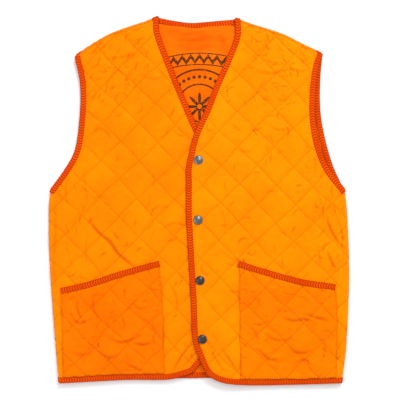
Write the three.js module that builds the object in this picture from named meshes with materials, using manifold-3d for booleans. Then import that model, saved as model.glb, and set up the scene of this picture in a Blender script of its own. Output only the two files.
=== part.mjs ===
// A quilted gilet, buttoned up with four snap fasteners and laid on its back on a flat surface.
// Millimetres. +X is the wearer's left, +Y runs from hem to neck, +Z is up, away from the surface.
// The origin is the middle of the footprint, on the surface.
import * as THREE from "three";
import Module from "manifold-3d";

const wasm = await Module();
wasm.setup();

// Driving dimensions
const wall = 3.2; // quilted cloth: shell, wadding and lining sewn together
const foldRadius = 3.7; // of the middle of the wall, where a panel turns at a side or a shoulder
const seamGap = 0.3; // between pieces sewn together
const sideGap = 0.4; // of each panel's edge from the side seam
const shoulderGap = 1; // of each panel's edge from the shoulder seam, where two long curves meet
const pocketGap = 0.6; // between a pocket and the front under it
const liningWall = 1.0; // back lining
const pocketWall = 2.4; // patch pockets
const tapeWall = 1.0; // braid of the edge binding
const tapeWidth = 11; // what shows of the binding on each face
const tongueWall = 1; // panel edge, pressed flat inside the binding
const tongueGap = 0.4; // round it
const frontRest = 6.4; // middle of a front panel where it lies on the lining
const overlapUnder = 7.7; // middle of the under front along the snaps
const overlapTop = 13.2; // middle of the top front along the snaps
const sideCells = 7; // rows of cells from hem to underarm
const armholeCells = 7; // rows of cells from underarm to shoulder
const frontCells = 8; // columns of cells in a front
const shoulderCells = 5; // columns of cells in the back under one shoulder
const neckCells = 4; // columns of cells in the back under the neck
const pocketCells = 6; // rows and columns of cells in a pocket
const crowding = 1.15; // over 1, a front's columns are narrower towards its centre edge

const half = wall / 2;
const foldReach = foldRadius + half;
const foldTop = half + 2 * foldRadius;
const quarterTurn = [45, 90]; // degrees, where a turned panel has a row of corners
const halfTurn = [60, 120, 180];

// Outline, as the outer edge of the binding or of the fold
const curve = (points) =>
  new THREE.CatmullRomCurve3(points.map(([x, y]) => new THREE.Vector3(x, y, 0)), false, "centripetal");

const rightFold = [[-259, -338], [-265, -270], [-276, -115], [-277.5, -15], [-274, 27]];
const leftFold = [[264, -338], [272, -270], [277.5, -137], [274.5, -37], [269, 27]];
const rightShoulder = [[-229, 267], [-193, 291], [-160, 308.5], [-95, 331.5], [-73.5, 341.3]];
const leftShoulder = [[228, 271], [190.5, 288.5], [155, 306], [80, 331], [65, 338.5]];
const backNeck = [[-73.5, 336], [-44, 330.5], [-16, 327], [27, 330], [65, 333.2]];
const backHem = [[-253, -337.5], [-165, -333.5], [24, -329.5], [150, -333], [258, -337.5]];

const rightArmhole = [[-268.7, 27], [-248, 56], [-230, 89], [-220.5, 150], [-219.5, 215], [-229, 261.7]];
const rightArmholeBack = [[-268.7, 27], [-246, 56], [-228, 89], [-218.5, 150], [-218, 215], [-229, 261.7]];
const leftArmhole = [
  [263.7, 27], [241, 57], [226, 91], [215.5, 140], [214.5, 195], [221, 245], [228, 265.7],
];
const leftArmholeBack = [
  [263.7, 27], [248, 62], [235.5, 103], [226, 150], [223.5, 185], [225, 235], [228, 265.7],
];

// The left front is on top. Its edge, from the hem corner to the waist, and on up to the neck
const topEdge = [[7, -309], [-2, -286], [-11, -262], [-15, -189], [-20, -100], [-24, -26], [-24, 27]];
const topNeckline = [
  [-24, 27], [-24, 60], [-18, 88], [-9, 122], [11, 166], [28, 210], [48, 255], [66, 304], [65, 333.2],
];
const topHem = [[7, -309], [18, -324], [42, -336], [85, -341.3], [170, -341], [258, -338]];
const underEdge = [[-1, -307], [12, -290], [25, -262], [30, -230], [25, -150], [21, -40], [21, 27]];
const underNeckline = [
  [21, 27], [20, 70], [7, 112], [-13, 158], [-41, 225], [-59, 270], [-73, 312], [-73.5, 336],
];
const underHem = [[-1, -307], [-11, -318], [-28, -324.5], [-54, -331], [-132, -332], [-253, -338]];

const snapPlaces = [[-1, 73], [-2, -37], [2, -148], [6, -256]];

// Pockets: top edge of the cloth, sides and bottom
const rightPocketOutline = {
  top: [[-255, -162], [-205, -151], [-150, -133], [-74, -112]],
  outer: [[-255, -162], [-252, -250], [-250, -321]],
  inner: [[-74, -112], [-66, -200], [-63.5, -315]],
  bottom: [[-250, -321], [-150, -318], [-63.5, -315]],
};
const leftPocketOutline = {
  top: [[251, -155], [190, -146], [120, -127], [73, -112]],
  outer: [[251, -155], [255, -230], [253, -324]],
  inner: [[73, -112], [74, -200], [76.5, -325]],
  bottom: [[253, -324], [150, -326], [76.5, -325]],
};

// Heights of the middle of each panel over the surface
const ease = THREE.MathUtils.smoothstep;
const heightOn = (points, x) => {
  const line = [...points].sort((a, b) => a[0] - b[0]);
  const next = THREE.MathUtils.clamp(line.findIndex((p) => p[0] > x), 1, line.length - 1);
  const [a, b] = [line[next - 1], line[next]];
  return a[1] + ((b[1] - a[1]) * (x - a[0])) / (b[0] - a[0]);
};

// A front lies on the lining, climbs to the turned side and shoulder, and rises where the fronts overlap
function frontHeight(x, y, isTop) {
  const shoulder = isTop ? leftShoulder : rightShoulder;
  const fold = isTop ? 271 : 269;
  const side = y < 60 ? 1 - ease(fold - foldReach - Math.abs(x), 0, 110) : 0;
  const sideFade = side * (1 - ease(y, 20, 60));
  const overShoulder = 1 - ease(heightOn(shoulder, x) - foldReach - y, 0, 90);
  const lift = Math.max(sideFade, overShoulder);
  const across = isTop ? 1 - ease(x, 34, 120) : ease(x, -120, -34);
  const overlap = across * (1 - ease(y, 130, 230));
  const swell = 0.9 * (1 + Math.sin(x / 47) * Math.cos(y / 61)) * (1 - lift) * (1 - overlap);
  const overlapHeight = (isTop ? overlapTop : overlapUnder) - frontRest;
  return frontRest + (foldTop - frontRest) * lift + overlapHeight * overlap + swell;
}

// Meshes: corners as Vector3, faces as lists of corner numbers
function toManifold(corners, triangles) {
  const volume = triangles.reduce(
    (sum, [a, b, c]) => sum + corners[a].dot(new THREE.Vector3().crossVectors(corners[b], corners[c])), 0);
  const turned = volume < 0 ? triangles.map(([a, b, c]) => [a, c, b]) : triangles;
  return new wasm.Manifold(new wasm.Mesh({
    numProp: 3,
    vertProperties: Float32Array.from(corners.flatMap((corner) => corner.toArray())),
    triVerts: Uint32Array.from(turned.flat()),
  }));
}

// The largest body of a solid, without any splinter that a cut has left beside it
function toGeometry(solid) {
  const [body] = solid.decompose().sort((a, b) => b.volume() - a.volume());
  const { vertProperties, triVerts } = body.getMesh();
  const geometry = new THREE.BufferGeometry();
  geometry.setAttribute("position", new THREE.BufferAttribute(vertProperties, 3));
  geometry.setIndex(new THREE.BufferAttribute(triVerts, 1));
  geometry.computeVertexNormals();
  return geometry;
}

// A sheet is a mesh of four-sided cells at the middle of a wall, with the normal at each corner
class Sheet {
  points = [];
  normals = [];
  cells = [];

  // A corner in a turned edge has its own normal. The others take theirs from the cells round them
  add(x, y, z, normal = null) {
    this.points.push(new THREE.Vector3(x, y, z));
    this.normals.push(normal);
    return this.points.length - 1;
  }

  // Joins rows of corner numbers into cells. The order of the rows sets which way the cells face
  join(rows) {
    for (let j = 1; j < rows.length; j += 1) {
      for (let i = 1; i < rows[j].length; i += 1) {
        this.cells.push([rows[j - 1][i - 1], rows[j - 1][i], rows[j][i], rows[j][i - 1]]);
      }
    }
  }

  finish() {
    const open = this.normals.map((normal) => normal === null);
    this.normals = this.normals.map((normal) => normal ?? new THREE.Vector3());
    for (const cell of this.cells.filter((corners) => corners.every((corner) => open[corner]))) {
      const [a, b, c, d] = cell.map((corner) => this.points[corner]);
      const normal = new THREE.Vector3().crossVectors(c.clone().sub(a), d.clone().sub(b)).normalize();
      cell.forEach((corner) => this.normals[corner].add(normal));
    }
    this.normals.forEach((normal) => normal.normalize());
    return this;
  }

  // The wall from low to high, measured along the normals
  solid(low, high) {
    const count = this.points.length;
    const at = (height) => this.points.map((p, i) => p.clone().addScaledVector(this.normals[i], height));
    const corners = [...at(high), ...at(low)];
    const triangles = [];
    const edges = new Map();
    for (const [a, b, c, d] of this.cells) {
      triangles.push([a, b, c], [a, c, d]);
      triangles.push([count + a, count + c, count + b], [count + a, count + d, count + c]);
      for (const [from, to] of [[a, b], [b, c], [c, d], [d, a]]) {
        if (edges.has(`${to} ${from}`)) edges.delete(`${to} ${from}`);
        else edges.set(`${from} ${to}`, [from, to]);
      }
    }
    for (const [from, to] of edges.values()) {
      triangles.push([to, from, count + from], [to, count + from, count + to]);
    }
    return toManifold(corners, triangles);
  }
}

// Four boundary curves, each a list of points, filled with a net of corners between them
function fillNet(bottom, right, top, left) {
  const fractions = (points) => {
    const steps = points.map((p, i) => (i ? p.distanceTo(points[i - 1]) : 0));
    const total = steps.reduce((sum, step) => sum + step, 0);
    let run = 0;
    return steps.map((step) => (run += step) / total);
  };
  const across = fractions(bottom);
  const up = fractions(left);
  return up.map((v, j) => across.map((u, i) => {
    const coordinate = (axis) =>
      (1 - v) * bottom[i][axis] + v * top[i][axis] + (1 - u) * left[j][axis] + u * right[j][axis]
      - (1 - u) * (1 - v) * bottom[0][axis] - u * (1 - v) * bottom.at(-1)[axis]
      - (1 - u) * v * top[0][axis] - u * v * top.at(-1)[axis];
    return [coordinate("x"), coordinate("y")];
  }));
}

const spaced = (points, count) => curve(points).getSpacedPoints(count);
const crowded = (points, count, power) =>
  Array.from({ length: count + 1 }, (_, i) => curve(points).getPointAt((i / count) ** power));
const joined = (...parts) => parts.flatMap((part, i) => (i ? part.slice(1) : part));

// The line where the cloth starts to turn, inside the outer edge of a side fold
const turnLine = (fold, armhole) => {
  const points = fold.map(([x, y]) => [x - Math.sign(x) * foldReach, y]);
  points[points.length - 1] = armhole[0];
  return points;
};
const shoulderLine = (shoulder, drop) => shoulder.map(([x, y]) => [x, y - drop]);

// Carries a row of corners round a fold: out along one axis, and up or down
function turn(sheet, row, angles, axis, out, rise, lastShort) {
  const rows = angles.map((angle, k) => {
    const short = k === angles.length - 1 ? lastShort / foldRadius : 0;
    const theta = THREE.MathUtils.degToRad(angle) - short;
    return row.map((corner) => {
      const point = sheet.points[corner].clone();
      point[axis] += out * foldRadius * Math.sin(theta);
      point.z += rise * foldRadius * (1 - Math.cos(theta));
      const normal = new THREE.Vector3(0, 0, Math.cos(theta));
      normal[axis] = -rise * out * Math.sin(theta);
      return sheet.add(point.x, point.y, point.z, normal);
    });
  });
  return [row, ...rows];
}

const column = (net, i) => net.map((row) => row[i]);
const reversed = (list) => [...list].reverse();

// Paths for the bindings: along the net, and round a turned edge at the first or last of its columns
const along = (corners) => corners.map((corner) => ({ corner }));
const endAt = (corner, toward) => ({ corner, toward });
const roundFirst = (rows) => rows.slice(1).map((row) => ({ corner: row[0], toward: row[1] }));
const roundLast = (rows) => rows.slice(1).map((row) => ({ corner: row.at(-1), toward: row.at(-2) }));

// A front panel, its net running from the centre edge (column 0) to the side
function makeFront(isTop) {
  const [edge, neckline, hem, fold, armhole, shoulder] = isTop
    ? [topEdge, topNeckline, topHem, leftFold, leftArmhole, leftShoulder]
    : [underEdge, underNeckline, underHem, rightFold, rightArmhole, rightShoulder];
  const out = isTop ? 1 : -1;
  const shortened = (points) => [...points.slice(0, -1), [points.at(-1)[0], points.at(-1)[1] - shoulderGap]];
  const sheet = new Sheet();
  const side = joined(spaced(turnLine(fold, armhole), sideCells), spaced(shortened(armhole), armholeCells));
  const centre = joined(spaced(edge, sideCells), spaced(shortened(neckline), armholeCells));
  const top = crowded(reversed(shoulderLine(shoulder, foldReach + shoulderGap)), frontCells, crowding);
  top[0] = centre.at(-1);
  top[frontCells] = side.at(-1);
  const bottom = crowded(hem, frontCells, crowding);
  bottom[frontCells] = side[0];
  const net = fillNet(bottom, side, top, centre)
    .map((row) => row.map(([x, y]) => sheet.add(x, y, frontHeight(x, y, isTop))));
  const seamColumn = column(net, frontCells).slice(0, sideCells + 1);
  seamColumn.forEach((corner) => { sheet.points[corner].z = foldTop; });
  net.at(-1).forEach((corner) => { sheet.points[corner].z = foldTop; });
  const sideTurn = turn(sheet, seamColumn, quarterTurn, "x", out, -1, sideGap);
  const sideColumns = seamColumn.map((_, j) => sideTurn.map((line) => line[j]));
  sheet.join(isTop ? net : net.map(reversed));
  sheet.join(isTop ? sideColumns : sideColumns.map(reversed));
  sheet.finish();
  const [shoulderRow, sideColumn] = [net.at(-1), column(net, frontCells).slice(sideCells, -1)];
  const edgePath = [
    endAt(shoulderRow[0], shoulderRow[1]),
    ...along(reversed(column(net, 0)).slice(1)),
    ...along(net[0].slice(1)),
    ...roundFirst(sideTurn),
  ];
  const armholePath = [
    ...reversed(roundLast(sideTurn)),
    ...along(sideColumn),
    endAt(shoulderRow.at(-1), shoulderRow.at(-2)),
  ];
  return { sheet, edgePath, armholePath };
}

// The back, turned up at the sides and right over at the shoulders, where it meets the fronts
function makeBack() {
  const sheet = new Sheet();
  const left = joined(
    spaced(turnLine(rightFold, rightArmholeBack), sideCells), spaced(rightArmholeBack, armholeCells));
  const right = joined(
    spaced(turnLine(leftFold, leftArmholeBack), sideCells), spaced(leftArmholeBack, armholeCells));
  const top = joined(
    spaced(shoulderLine(rightShoulder, foldReach), shoulderCells),
    spaced(backNeck, neckCells),
    spaced(reversed(shoulderLine(leftShoulder, foldReach)), shoulderCells),
  );
  left[left.length - 1] = top[0];
  right[right.length - 1] = top.at(-1);
  const bottom = spaced(backHem, top.length - 1);
  bottom[0] = left[0];
  bottom[bottom.length - 1] = right[0];
  const flat = fillNet(bottom, right, top, left);
  const net = flat.map((row) => row.map(([x, y]) => sheet.add(x, y, half)));
  const last = net[0].length - 1;
  const seamColumns = [0, last].map((i) => column(net, i).slice(0, sideCells + 1));
  const sideTurns = seamColumns.map((line, k) => turn(sheet, line, quarterTurn, "x", k ? 1 : -1, 1, sideGap));
  const shoulderRows = [net.at(-1).slice(0, shoulderCells + 1), net.at(-1).slice(-shoulderCells - 1)];
  const shoulderTurns = shoulderRows.map((line) => turn(sheet, line, halfTurn, "y", 1, 1, shoulderGap));
  sheet.join(net);
  sheet.join(seamColumns[0].map((_, j) => reversed(sideTurns[0].map((line) => line[j]))));
  sheet.join(seamColumns[1].map((_, j) => sideTurns[1].map((line) => line[j])));
  shoulderTurns.forEach((rows) => sheet.join(rows));
  sheet.finish();
  const armholePath = (k) => [
    ...reversed(roundLast(sideTurns[k])),
    ...along(column(net, k ? last : 0).slice(sideCells)),
    ...(k ? roundLast : roundFirst)(shoulderTurns[k]),
  ];
  return {
    sheet,
    net,
    hemPath: [...reversed(roundFirst(sideTurns[0])), ...along(net[0]), ...roundFirst(sideTurns[1])],
    rightArmholePath: armholePath(0),
    leftArmholePath: armholePath(1),
    neckPath: [
      ...reversed(roundLast(shoulderTurns[0])),
      ...along(net.at(-1).slice(shoulderCells, shoulderCells + neckCells + 1)),
      ...roundFirst(shoulderTurns[1]),
    ],
  };
}

// The place and directions of a strip at each corner of a path along a panel's edge. Inward keeps the
// strip's width square to the path. On a turned edge it follows the cloth, along the fold
function framesAlong(sheet, path) {
  const at = path.map(({ corner }) => sheet.points[corner]);
  const middle = new THREE.Box3().setFromPoints(sheet.points).getCenter(new THREE.Vector3());
  const steps = at.slice(1).map((point, i) => point.clone().sub(at[i]).normalize());
  const frames = at.map((origin, i) => {
    const before = steps[Math.max(i - 1, 0)];
    const after = steps[Math.min(i, steps.length - 1)];
    const tangent = before.clone().add(after).normalize();
    const up = sheet.normals[path[i].corner];
    const square = new THREE.Vector3().crossVectors(up, tangent).normalize();
    const travel = i ? before : after;
    return { origin, tangent, travel, up, square, stretch: 1 / Math.max(tangent.dot(after), 0.75) };
  });
  const { square, origin } = frames[Math.floor(frames.length / 2)];
  const side = Math.sign(square.dot(middle.sub(origin)));
  return frames.map((frame, i) => {
    const inward = frame.square.clone().multiplyScalar(side * frame.stretch);
    const { toward } = path[i];
    if (toward !== undefined) {
      inward.copy(sheet.points[toward]).sub(frame.origin).normalize();
      inward.divideScalar(Math.abs(inward.dot(frame.square)));
    }
    return { ...frame, inward };
  });
}

// Frames between two frames, where a strip turns fast, no more than this many radians apart
const largestTurn = 0.4;
function refined(frames) {
  return frames.flatMap((frame, i) => {
    const next = frames[i + 1];
    if (!next || frame.up.angleTo(next.up) < 0.3) return [frame];
    const count = Math.ceil((frame.up.angleTo(next.up) + frame.inward.angleTo(next.inward)) / largestTurn);
    const between = (key, k) => frame[key].clone().lerp(next[key], k / count);
    return Array.from({ length: count }, (_, k) => Object.fromEntries(
      ["origin", "travel", "up", "inward"].map((key) => [key, between(key, k)])));
  });
}

// A strip with the given section, as points [in from the edge, up from the middle of the wall]
function strip(frames, section, overrun = 0) {
  const rings = frames.map(({ origin, travel, up, inward }, i) => {
    const ends = (i === frames.length - 1) - (i === 0);
    return section.map(([into, height]) => origin.clone()
      .addScaledVector(travel, ends * overrun)
      .addScaledVector(inward, into)
      .addScaledVector(up, height));
  });
  const size = section.length;
  const contour = section.map(([x, y]) => new THREE.Vector2(x, y));
  const cap = THREE.ShapeUtils.triangulateShape(contour, []);
  const anticlockwise = THREE.ShapeUtils.isClockWise(contour) ? -1 : 1;
  const triangles = [];
  for (let j = 1; j < rings.length; j += 1) {
    for (let i = 0; i < size; i += 1) {
      const next = (i + 1) % size;
      const [a, b, c, d] = [(j - 1) * size + i, (j - 1) * size + next, j * size + next, j * size + i];
      triangles.push([a, b, c], [a, c, d]);
    }
  }
  const lastRing = (rings.length - 1) * size;
  for (const [a, b, c] of cap) {
    const [p, q] = anticlockwise > 0 ? [b, c] : [c, b];
    triangles.push([a, q, p], [lastRing + a, lastRing + p, lastRing + q]);
  }
  return toManifold(rings.flat(), triangles);
}

// The folded braid, the room that it takes in the panel, and the panel's pressed edge inside it
function bindEdge(sheet, path, low) {
  const frames = refined(framesAlong(sheet, path));
  const tongueLow = low + tapeWall + tongueGap;
  const tongueHigh = tongueLow + tongueWall;
  const high = tongueHigh + tongueGap + tapeWall;
  const tape = strip(frames, [
    [0, low], [tapeWidth, low], [tapeWidth, low + tapeWall], [tapeWall, low + tapeWall],
    [tapeWall, high - tapeWall], [tapeWidth, high - tapeWall], [tapeWidth, high], [0, high],
  ]);
  const reach = tapeWidth + tongueGap;
  const room = strip(frames, [[-2, low - 1], [reach, low - 1], [reach, high + 1], [-2, high + 1]], 1);
  const edge = tapeWall + tongueGap;
  const inside = reach + 1.5;
  const tongueSection = [[edge, tongueLow], [inside, tongueLow], [inside, tongueHigh], [edge, tongueHigh]];
  const tongue = strip(frames, tongueSection, -tongueGap);
  return { tape, room, tongue };
}

// A pocket's net lies on the front's own height, moved out by both walls and a gap
function makePocket({ top, outer, inner, bottom }, isTop) {
  const sheet = new Sheet();
  const lift = half + pocketGap + pocketWall / 2;
  const [low, high, left, right] = isTop
    ? [reversed(bottom), reversed(top), inner, outer]
    : [bottom, top, outer, inner];
  const net = fillNet(
    spaced(low, pocketCells), spaced(reversed(right), pocketCells),
    spaced(high, pocketCells), spaced(reversed(left), pocketCells))
    .map((row) => row.map(([x, y]) => sheet.add(x, y, frontHeight(x, y, isTop) + lift)));
  sheet.join(net);
  sheet.finish();
  return { sheet, topPath: along(net.at(-1)) };
}

// Round parts
function lathe(profile, [x, y], segments = 12) {
  const points = profile.map(([radius, height]) => new THREE.Vector2(radius, height));
  const corners = [];
  const triangles = [];
  points.forEach(({ x: radius, y: height }) => {
    for (let k = 0; k < segments; k += 1) {
      const angle = (2 * Math.PI * k) / segments;
      corners.push(new THREE.Vector3(x + radius * Math.cos(angle), y + radius * Math.sin(angle), height));
    }
  });
  for (let j = 1; j < points.length; j += 1) {
    for (let k = 0; k < segments; k += 1) {
      const next = (k + 1) % segments;
      const [a, b] = [(j - 1) * segments + k, (j - 1) * segments + next];
      triangles.push([a, b, b + segments], [a, b + segments, a + segments]);
    }
  }
  const centres = [points[0], points.at(-1)].map(({ y: height }) => (
    corners.push(new THREE.Vector3(x, y, height)) - 1));
  const last = (points.length - 1) * segments;
  for (let k = 0; k < segments; k += 1) {
    const next = (k + 1) % segments;
    triangles.push([centres[0], next, k], [centres[1], last + k, last + next]);
  }
  return toManifold(corners, triangles);
}

// Cap, post and socket of one snap, from the bottom of the socket's hollow round to the dome
const capRadius = 8.5;
const postRadius = 3.2;
const studRadius = 1.6;
const studHead = 2.1;
const socketRadius = 6;
const socketHeight = 1.3;
const studBaseRadius = 5.5;
const studBaseHeight = 1;
const capBase = overlapTop + half + 0.9;
const socketTop = overlapTop - half - seamGap;
const studTop = socketTop + 0.3;
const capProfile = [
  [studHead + seamGap, studTop + seamGap], [studHead + seamGap, socketTop - socketHeight],
  [socketRadius, socketTop - socketHeight], [socketRadius, socketTop], [postRadius, socketTop],
  [postRadius, capBase], [capRadius - 0.6, capBase],
  [capRadius, capBase + 0.6], [capRadius * 0.86, capBase + 1.6], [capRadius * 0.5, capBase + 2.3],
];
const studBase = overlapUnder - half - seamGap;
const studProfile = [
  [studBaseRadius, studBase - studBaseHeight], [studBaseRadius, studBase],
  [studRadius, studBase], [studRadius, overlapUnder + half + seamGap],
  [studHead, overlapUnder + half + 1], [studHead, studTop],
];

// Colours and finishes
const cloth = (colour) => new THREE.MeshStandardMaterial({ color: colour, roughness: 0.55, metalness: 0 });
const finishes = {
  shell: () => cloth("#ff9302"),
  lining: () => cloth("#fa7105"),
  pocket: () => cloth("#ff7a03"),
  binding: () => new THREE.MeshStandardMaterial({ color: "#dd4c08", roughness: 0.7, metalness: 0 }),
  snap: () => new THREE.MeshStandardMaterial({ color: "#3a3531", roughness: 0.3, metalness: 0.9 }),
};

const gilet = new THREE.Group();
function place(name, solid, finish) {
  const mesh = new THREE.Mesh(toGeometry(solid), finishes[finish]());
  mesh.name = name;
  gilet.add(mesh);
}

// A panel, cut back where each binding goes, with its pressed edges put in
function placeBound(name, sheet, thickness, finish, bindings, holes = []) {
  let solid = sheet.solid(-thickness / 2, thickness / 2);
  const bound = bindings.map(([bindingName, path]) => [bindingName, bindEdge(sheet, path, -thickness / 2)]);
  bound.forEach(([, { room }]) => { solid = solid.subtract(room); });
  bound.forEach(([, { tongue }]) => { solid = solid.add(tongue); });
  holes.forEach((hole) => { solid = solid.subtract(hole); });
  place(name, solid, finish);
  bound.forEach(([bindingName, { tape }]) => place(bindingName, tape, "binding"));
}

const back = makeBack();
placeBound("back", back.sheet, wall, "shell", [
  ["hem_binding_back", back.hemPath],
  ["armhole_binding_right_back", back.rightArmholePath],
  ["armhole_binding_left_back", back.leftArmholePath],
  ["neck_binding_back", back.neckPath],
]);

// A flat piece of even thickness inside an outline
function plate(outline, low, high) {
  const count = outline.length;
  const contour = outline.map(({ x, y }) => new THREE.Vector2(x, y));
  const corners = [high, low].flatMap((height) => outline.map(({ x, y }) => new THREE.Vector3(x, y, height)));
  const triangles = THREE.ShapeUtils.triangulateShape(contour, [])
    .flatMap(([a, b, c]) => [[a, b, c], [count + a, count + c, count + b]]);
  for (let i = 0; i < count; i += 1) {
    const next = (i + 1) % count;
    triangles.push([next, i, count + i], [next, count + i, count + next]);
  }
  return toManifold(corners, triangles);
}

// The lining has the outline of the back's net, drawn in from the bindings and the folds, without corners
function makeLining() {
  const { net, sheet } = back;
  const [rows, columns] = [net.length - 1, net[0].length - 1];
  const cornerAt = (i, j) => sheet.points[net[j][i]];
  const range = (count) => Array.from({ length: count }, (_, k) => k);
  const inset = tapeWidth + 4 * seamGap;
  const nearFold = 2;
  const loop = [
    ...range(columns).map((i) => ({ i, j: 0, bound: true })),
    ...range(rows).map((j) => ({ i: columns, j, bound: j === 0 || j >= sideCells })),
    ...range(columns).map((k) => columns - k).map((i) => (
      { i, j: rows, bound: i >= shoulderCells && i <= columns - shoulderCells })),
    ...range(rows).map((k) => rows - k).map((j) => ({ i: 0, j, bound: j >= sideCells })),
  ];
  const outline = loop.map(({ i, j, bound }, k) => {
    const before = loop.at(k - 1);
    const after = loop[(k + 1) % loop.length];
    const point = cornerAt(i, j);
    const underarm = j === sideCells;
    const outside = new THREE.Vector3(point.x + Math.sign(point.x) * tapeWidth, point.y, 0);
    const [from, to] = [before, after].map((end) => (
      underarm && end.j < j ? outside : cornerAt(end.i, end.j)));
    const along = new THREE.Vector3(to.x - from.x, to.y - from.y, 0).normalize();
    const inward = new THREE.Vector3(-along.y, along.x, 0);
    return point.clone().addScaledVector(inward, bound ? inset : nearFold);
  }).filter((_, k) => (loop[k].i % columns) + (loop[k].j % rows) > 0);
  return plate(outline, wall + seamGap, wall + seamGap + liningWall);
}
place("back_lining", makeLining(), "lining");

const hole = (radius, middle, spot) =>
  lathe([[radius, middle - 2 * half], [radius, middle + 2 * half]], spot);

for (const isTop of [false, true]) {
  const side = isTop ? "left" : "right";
  const front = makeFront(isTop);
  const [radius, middle] = isTop ? [postRadius, overlapTop] : [studRadius, overlapUnder];
  placeBound(`front_${side}`, front.sheet, wall, "shell", [
    [`edge_binding_${side}`, front.edgePath],
    [`armhole_binding_${side}_front`, front.armholePath],
  ], snapPlaces.map((spot) => hole(radius + seamGap, middle, spot)));
  const pocket = makePocket(isTop ? leftPocketOutline : rightPocketOutline, isTop);
  placeBound(`pocket_${side}`, pocket.sheet, pocketWall, "pocket", [
    [`pocket_binding_${side}`, pocket.topPath],
  ]);
}

snapPlaces.forEach((spot, i) => {
  place(`snap_cap_${i + 1}`, lathe(capProfile, spot), "snap");
  place(`snap_stud_${i + 1}`, lathe(studProfile, spot), "snap");
});

const footprint = new THREE.Box3().setFromObject(gilet).getCenter(new THREE.Vector3());
gilet.position.set(-footprint.x, -footprint.y, 0);

export default gilet;
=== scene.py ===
# %% [markdown]
# # A quilted gilet, laid on its back
# The CAD model gives every cut piece its size and place. This script sews the looks around it: puffed
# quilting, braid bindings, stitches, a soft lining and domed snaps. Every number is in millimetres until
# the last moment, when a mesh is made and `MM` turns it into metres. +X is the wearer's left, +Y runs
# from hem to neck, and +Z is up from the table.

# %% Load the frame
import bpy
import math
import numpy as np
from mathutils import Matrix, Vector


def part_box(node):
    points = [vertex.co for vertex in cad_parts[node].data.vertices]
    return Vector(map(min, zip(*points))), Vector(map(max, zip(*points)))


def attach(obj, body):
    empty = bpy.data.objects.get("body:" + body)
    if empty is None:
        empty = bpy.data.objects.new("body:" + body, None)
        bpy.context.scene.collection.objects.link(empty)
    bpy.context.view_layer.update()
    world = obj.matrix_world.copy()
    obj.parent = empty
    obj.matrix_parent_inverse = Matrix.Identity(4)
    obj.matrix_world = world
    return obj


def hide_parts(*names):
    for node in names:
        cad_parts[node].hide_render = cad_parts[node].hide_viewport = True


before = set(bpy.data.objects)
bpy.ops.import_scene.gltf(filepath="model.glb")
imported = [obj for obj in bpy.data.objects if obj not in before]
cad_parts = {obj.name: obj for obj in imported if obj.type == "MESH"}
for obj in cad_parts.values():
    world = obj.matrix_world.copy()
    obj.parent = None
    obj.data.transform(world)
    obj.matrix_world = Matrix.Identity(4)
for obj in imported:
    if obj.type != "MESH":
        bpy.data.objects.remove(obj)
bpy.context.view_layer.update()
MM = 0.001

# %% [markdown]
# ## Where the drawing sits
# The pattern below is drawn with the first snap at a known place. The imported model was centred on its
# footprint, so the middle of that snap says how far everything was shifted.

# %% Find the shift of the pattern
SNAPS = [(-1, 73), (-2, -37), (2, -148), (6, -256)]
snap_low, snap_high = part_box("snap_cap_1")
SHIFT = np.array([(snap_low[k] + snap_high[k]) / 2 / MM - SNAPS[0][k] for k in (0, 1)])
print("pattern shift in mm:", SHIFT.round(2))

# %% [markdown]
# ## The pattern
# A tailor draws smooth lines through a few marks. Each list below holds the marks of one edge, and
# `draw` runs a centripetal Catmull-Rom curve through them, which never loops between uneven marks.

# %% Draw a smooth line through marks
def draw(marks, step=1.5):
    """Points about `step` apart on a smooth line through the marks."""
    marks = np.array(marks, float)
    ends = np.vstack([2 * marks[0] - marks[1], marks, 2 * marks[-1] - marks[-2]])
    line = []
    for p0, p1, p2, p3 in zip(ends, ends[1:], ends[2:], ends[3:]):
        t1 = math.sqrt(math.dist(p0, p1))
        t2 = t1 + math.sqrt(math.dist(p1, p2))
        t3 = t2 + math.sqrt(math.dist(p2, p3))
        count = max(int(math.dist(p1, p2) / step), 2)
        for t in np.linspace(t1, t2, count, endpoint=False):
            a1 = ((t1 - t) * p0 + t * p1) / t1
            a2 = ((t2 - t) * p1 + (t - t1) * p2) / (t2 - t1)
            a3 = ((t3 - t) * p2 + (t - t2) * p3) / (t3 - t2)
            b1 = ((t2 - t) * a1 + t * a2) / t2
            b2 = ((t3 - t) * a2 + (t - t1) * a3) / (t3 - t1)
            line.append(((t2 - t) * b1 + (t - t1) * b2) / (t2 - t1))
    return np.array(line + [marks[-1]])


def chain(*lines):
    """Several lines end to end, without repeated points."""
    points = np.vstack([np.array(line, float) for line in lines])
    keep = np.r_[True, np.linalg.norm(np.diff(points, axis=0), axis=1) > 0.05]
    return points[keep]


print("a line through three marks:", len(draw([(0, 0), (30, 10), (60, 0)])), "points")

# %% Marks of each edge
RIGHT_FOLD = [(-259, -338), (-265, -270), (-276, -115), (-277.5, -15), (-274, 27)]
LEFT_FOLD = [(264, -338), (272, -270), (277.5, -137), (274.5, -37), (269, 27)]
RIGHT_SHOULDER = [(-229, 267), (-193, 291), (-160, 308.5), (-95, 331.5), (-73.5, 341.3)]
LEFT_SHOULDER = [(228, 271), (190.5, 288.5), (155, 306), (80, 331), (65, 338.5)]
BACK_NECK = [(-73.5, 336), (-44, 330.5), (-16, 327), (27, 330), (65, 333.2)]
BACK_HEM = [(-253, -337.5), (-165, -333.5), (24, -329.5), (150, -333), (258, -337.5)]
RIGHT_ARMHOLE = [(-268.7, 27), (-248, 56), (-230, 89), (-220.5, 150), (-219.5, 215), (-229, 261.7)]
RIGHT_ARMHOLE_BACK = [(-268.7, 27), (-246, 56), (-228, 89), (-218.5, 150), (-218, 215), (-229, 261.7)]
LEFT_ARMHOLE = [
    (263.7, 27), (241, 57), (226, 91), (215.5, 140), (214.5, 195), (221, 245), (228, 265.7)]
LEFT_ARMHOLE_BACK = [
    (263.7, 27), (248, 62), (235.5, 103), (226, 150), (223.5, 185), (225, 235), (228, 265.7)]
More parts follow.
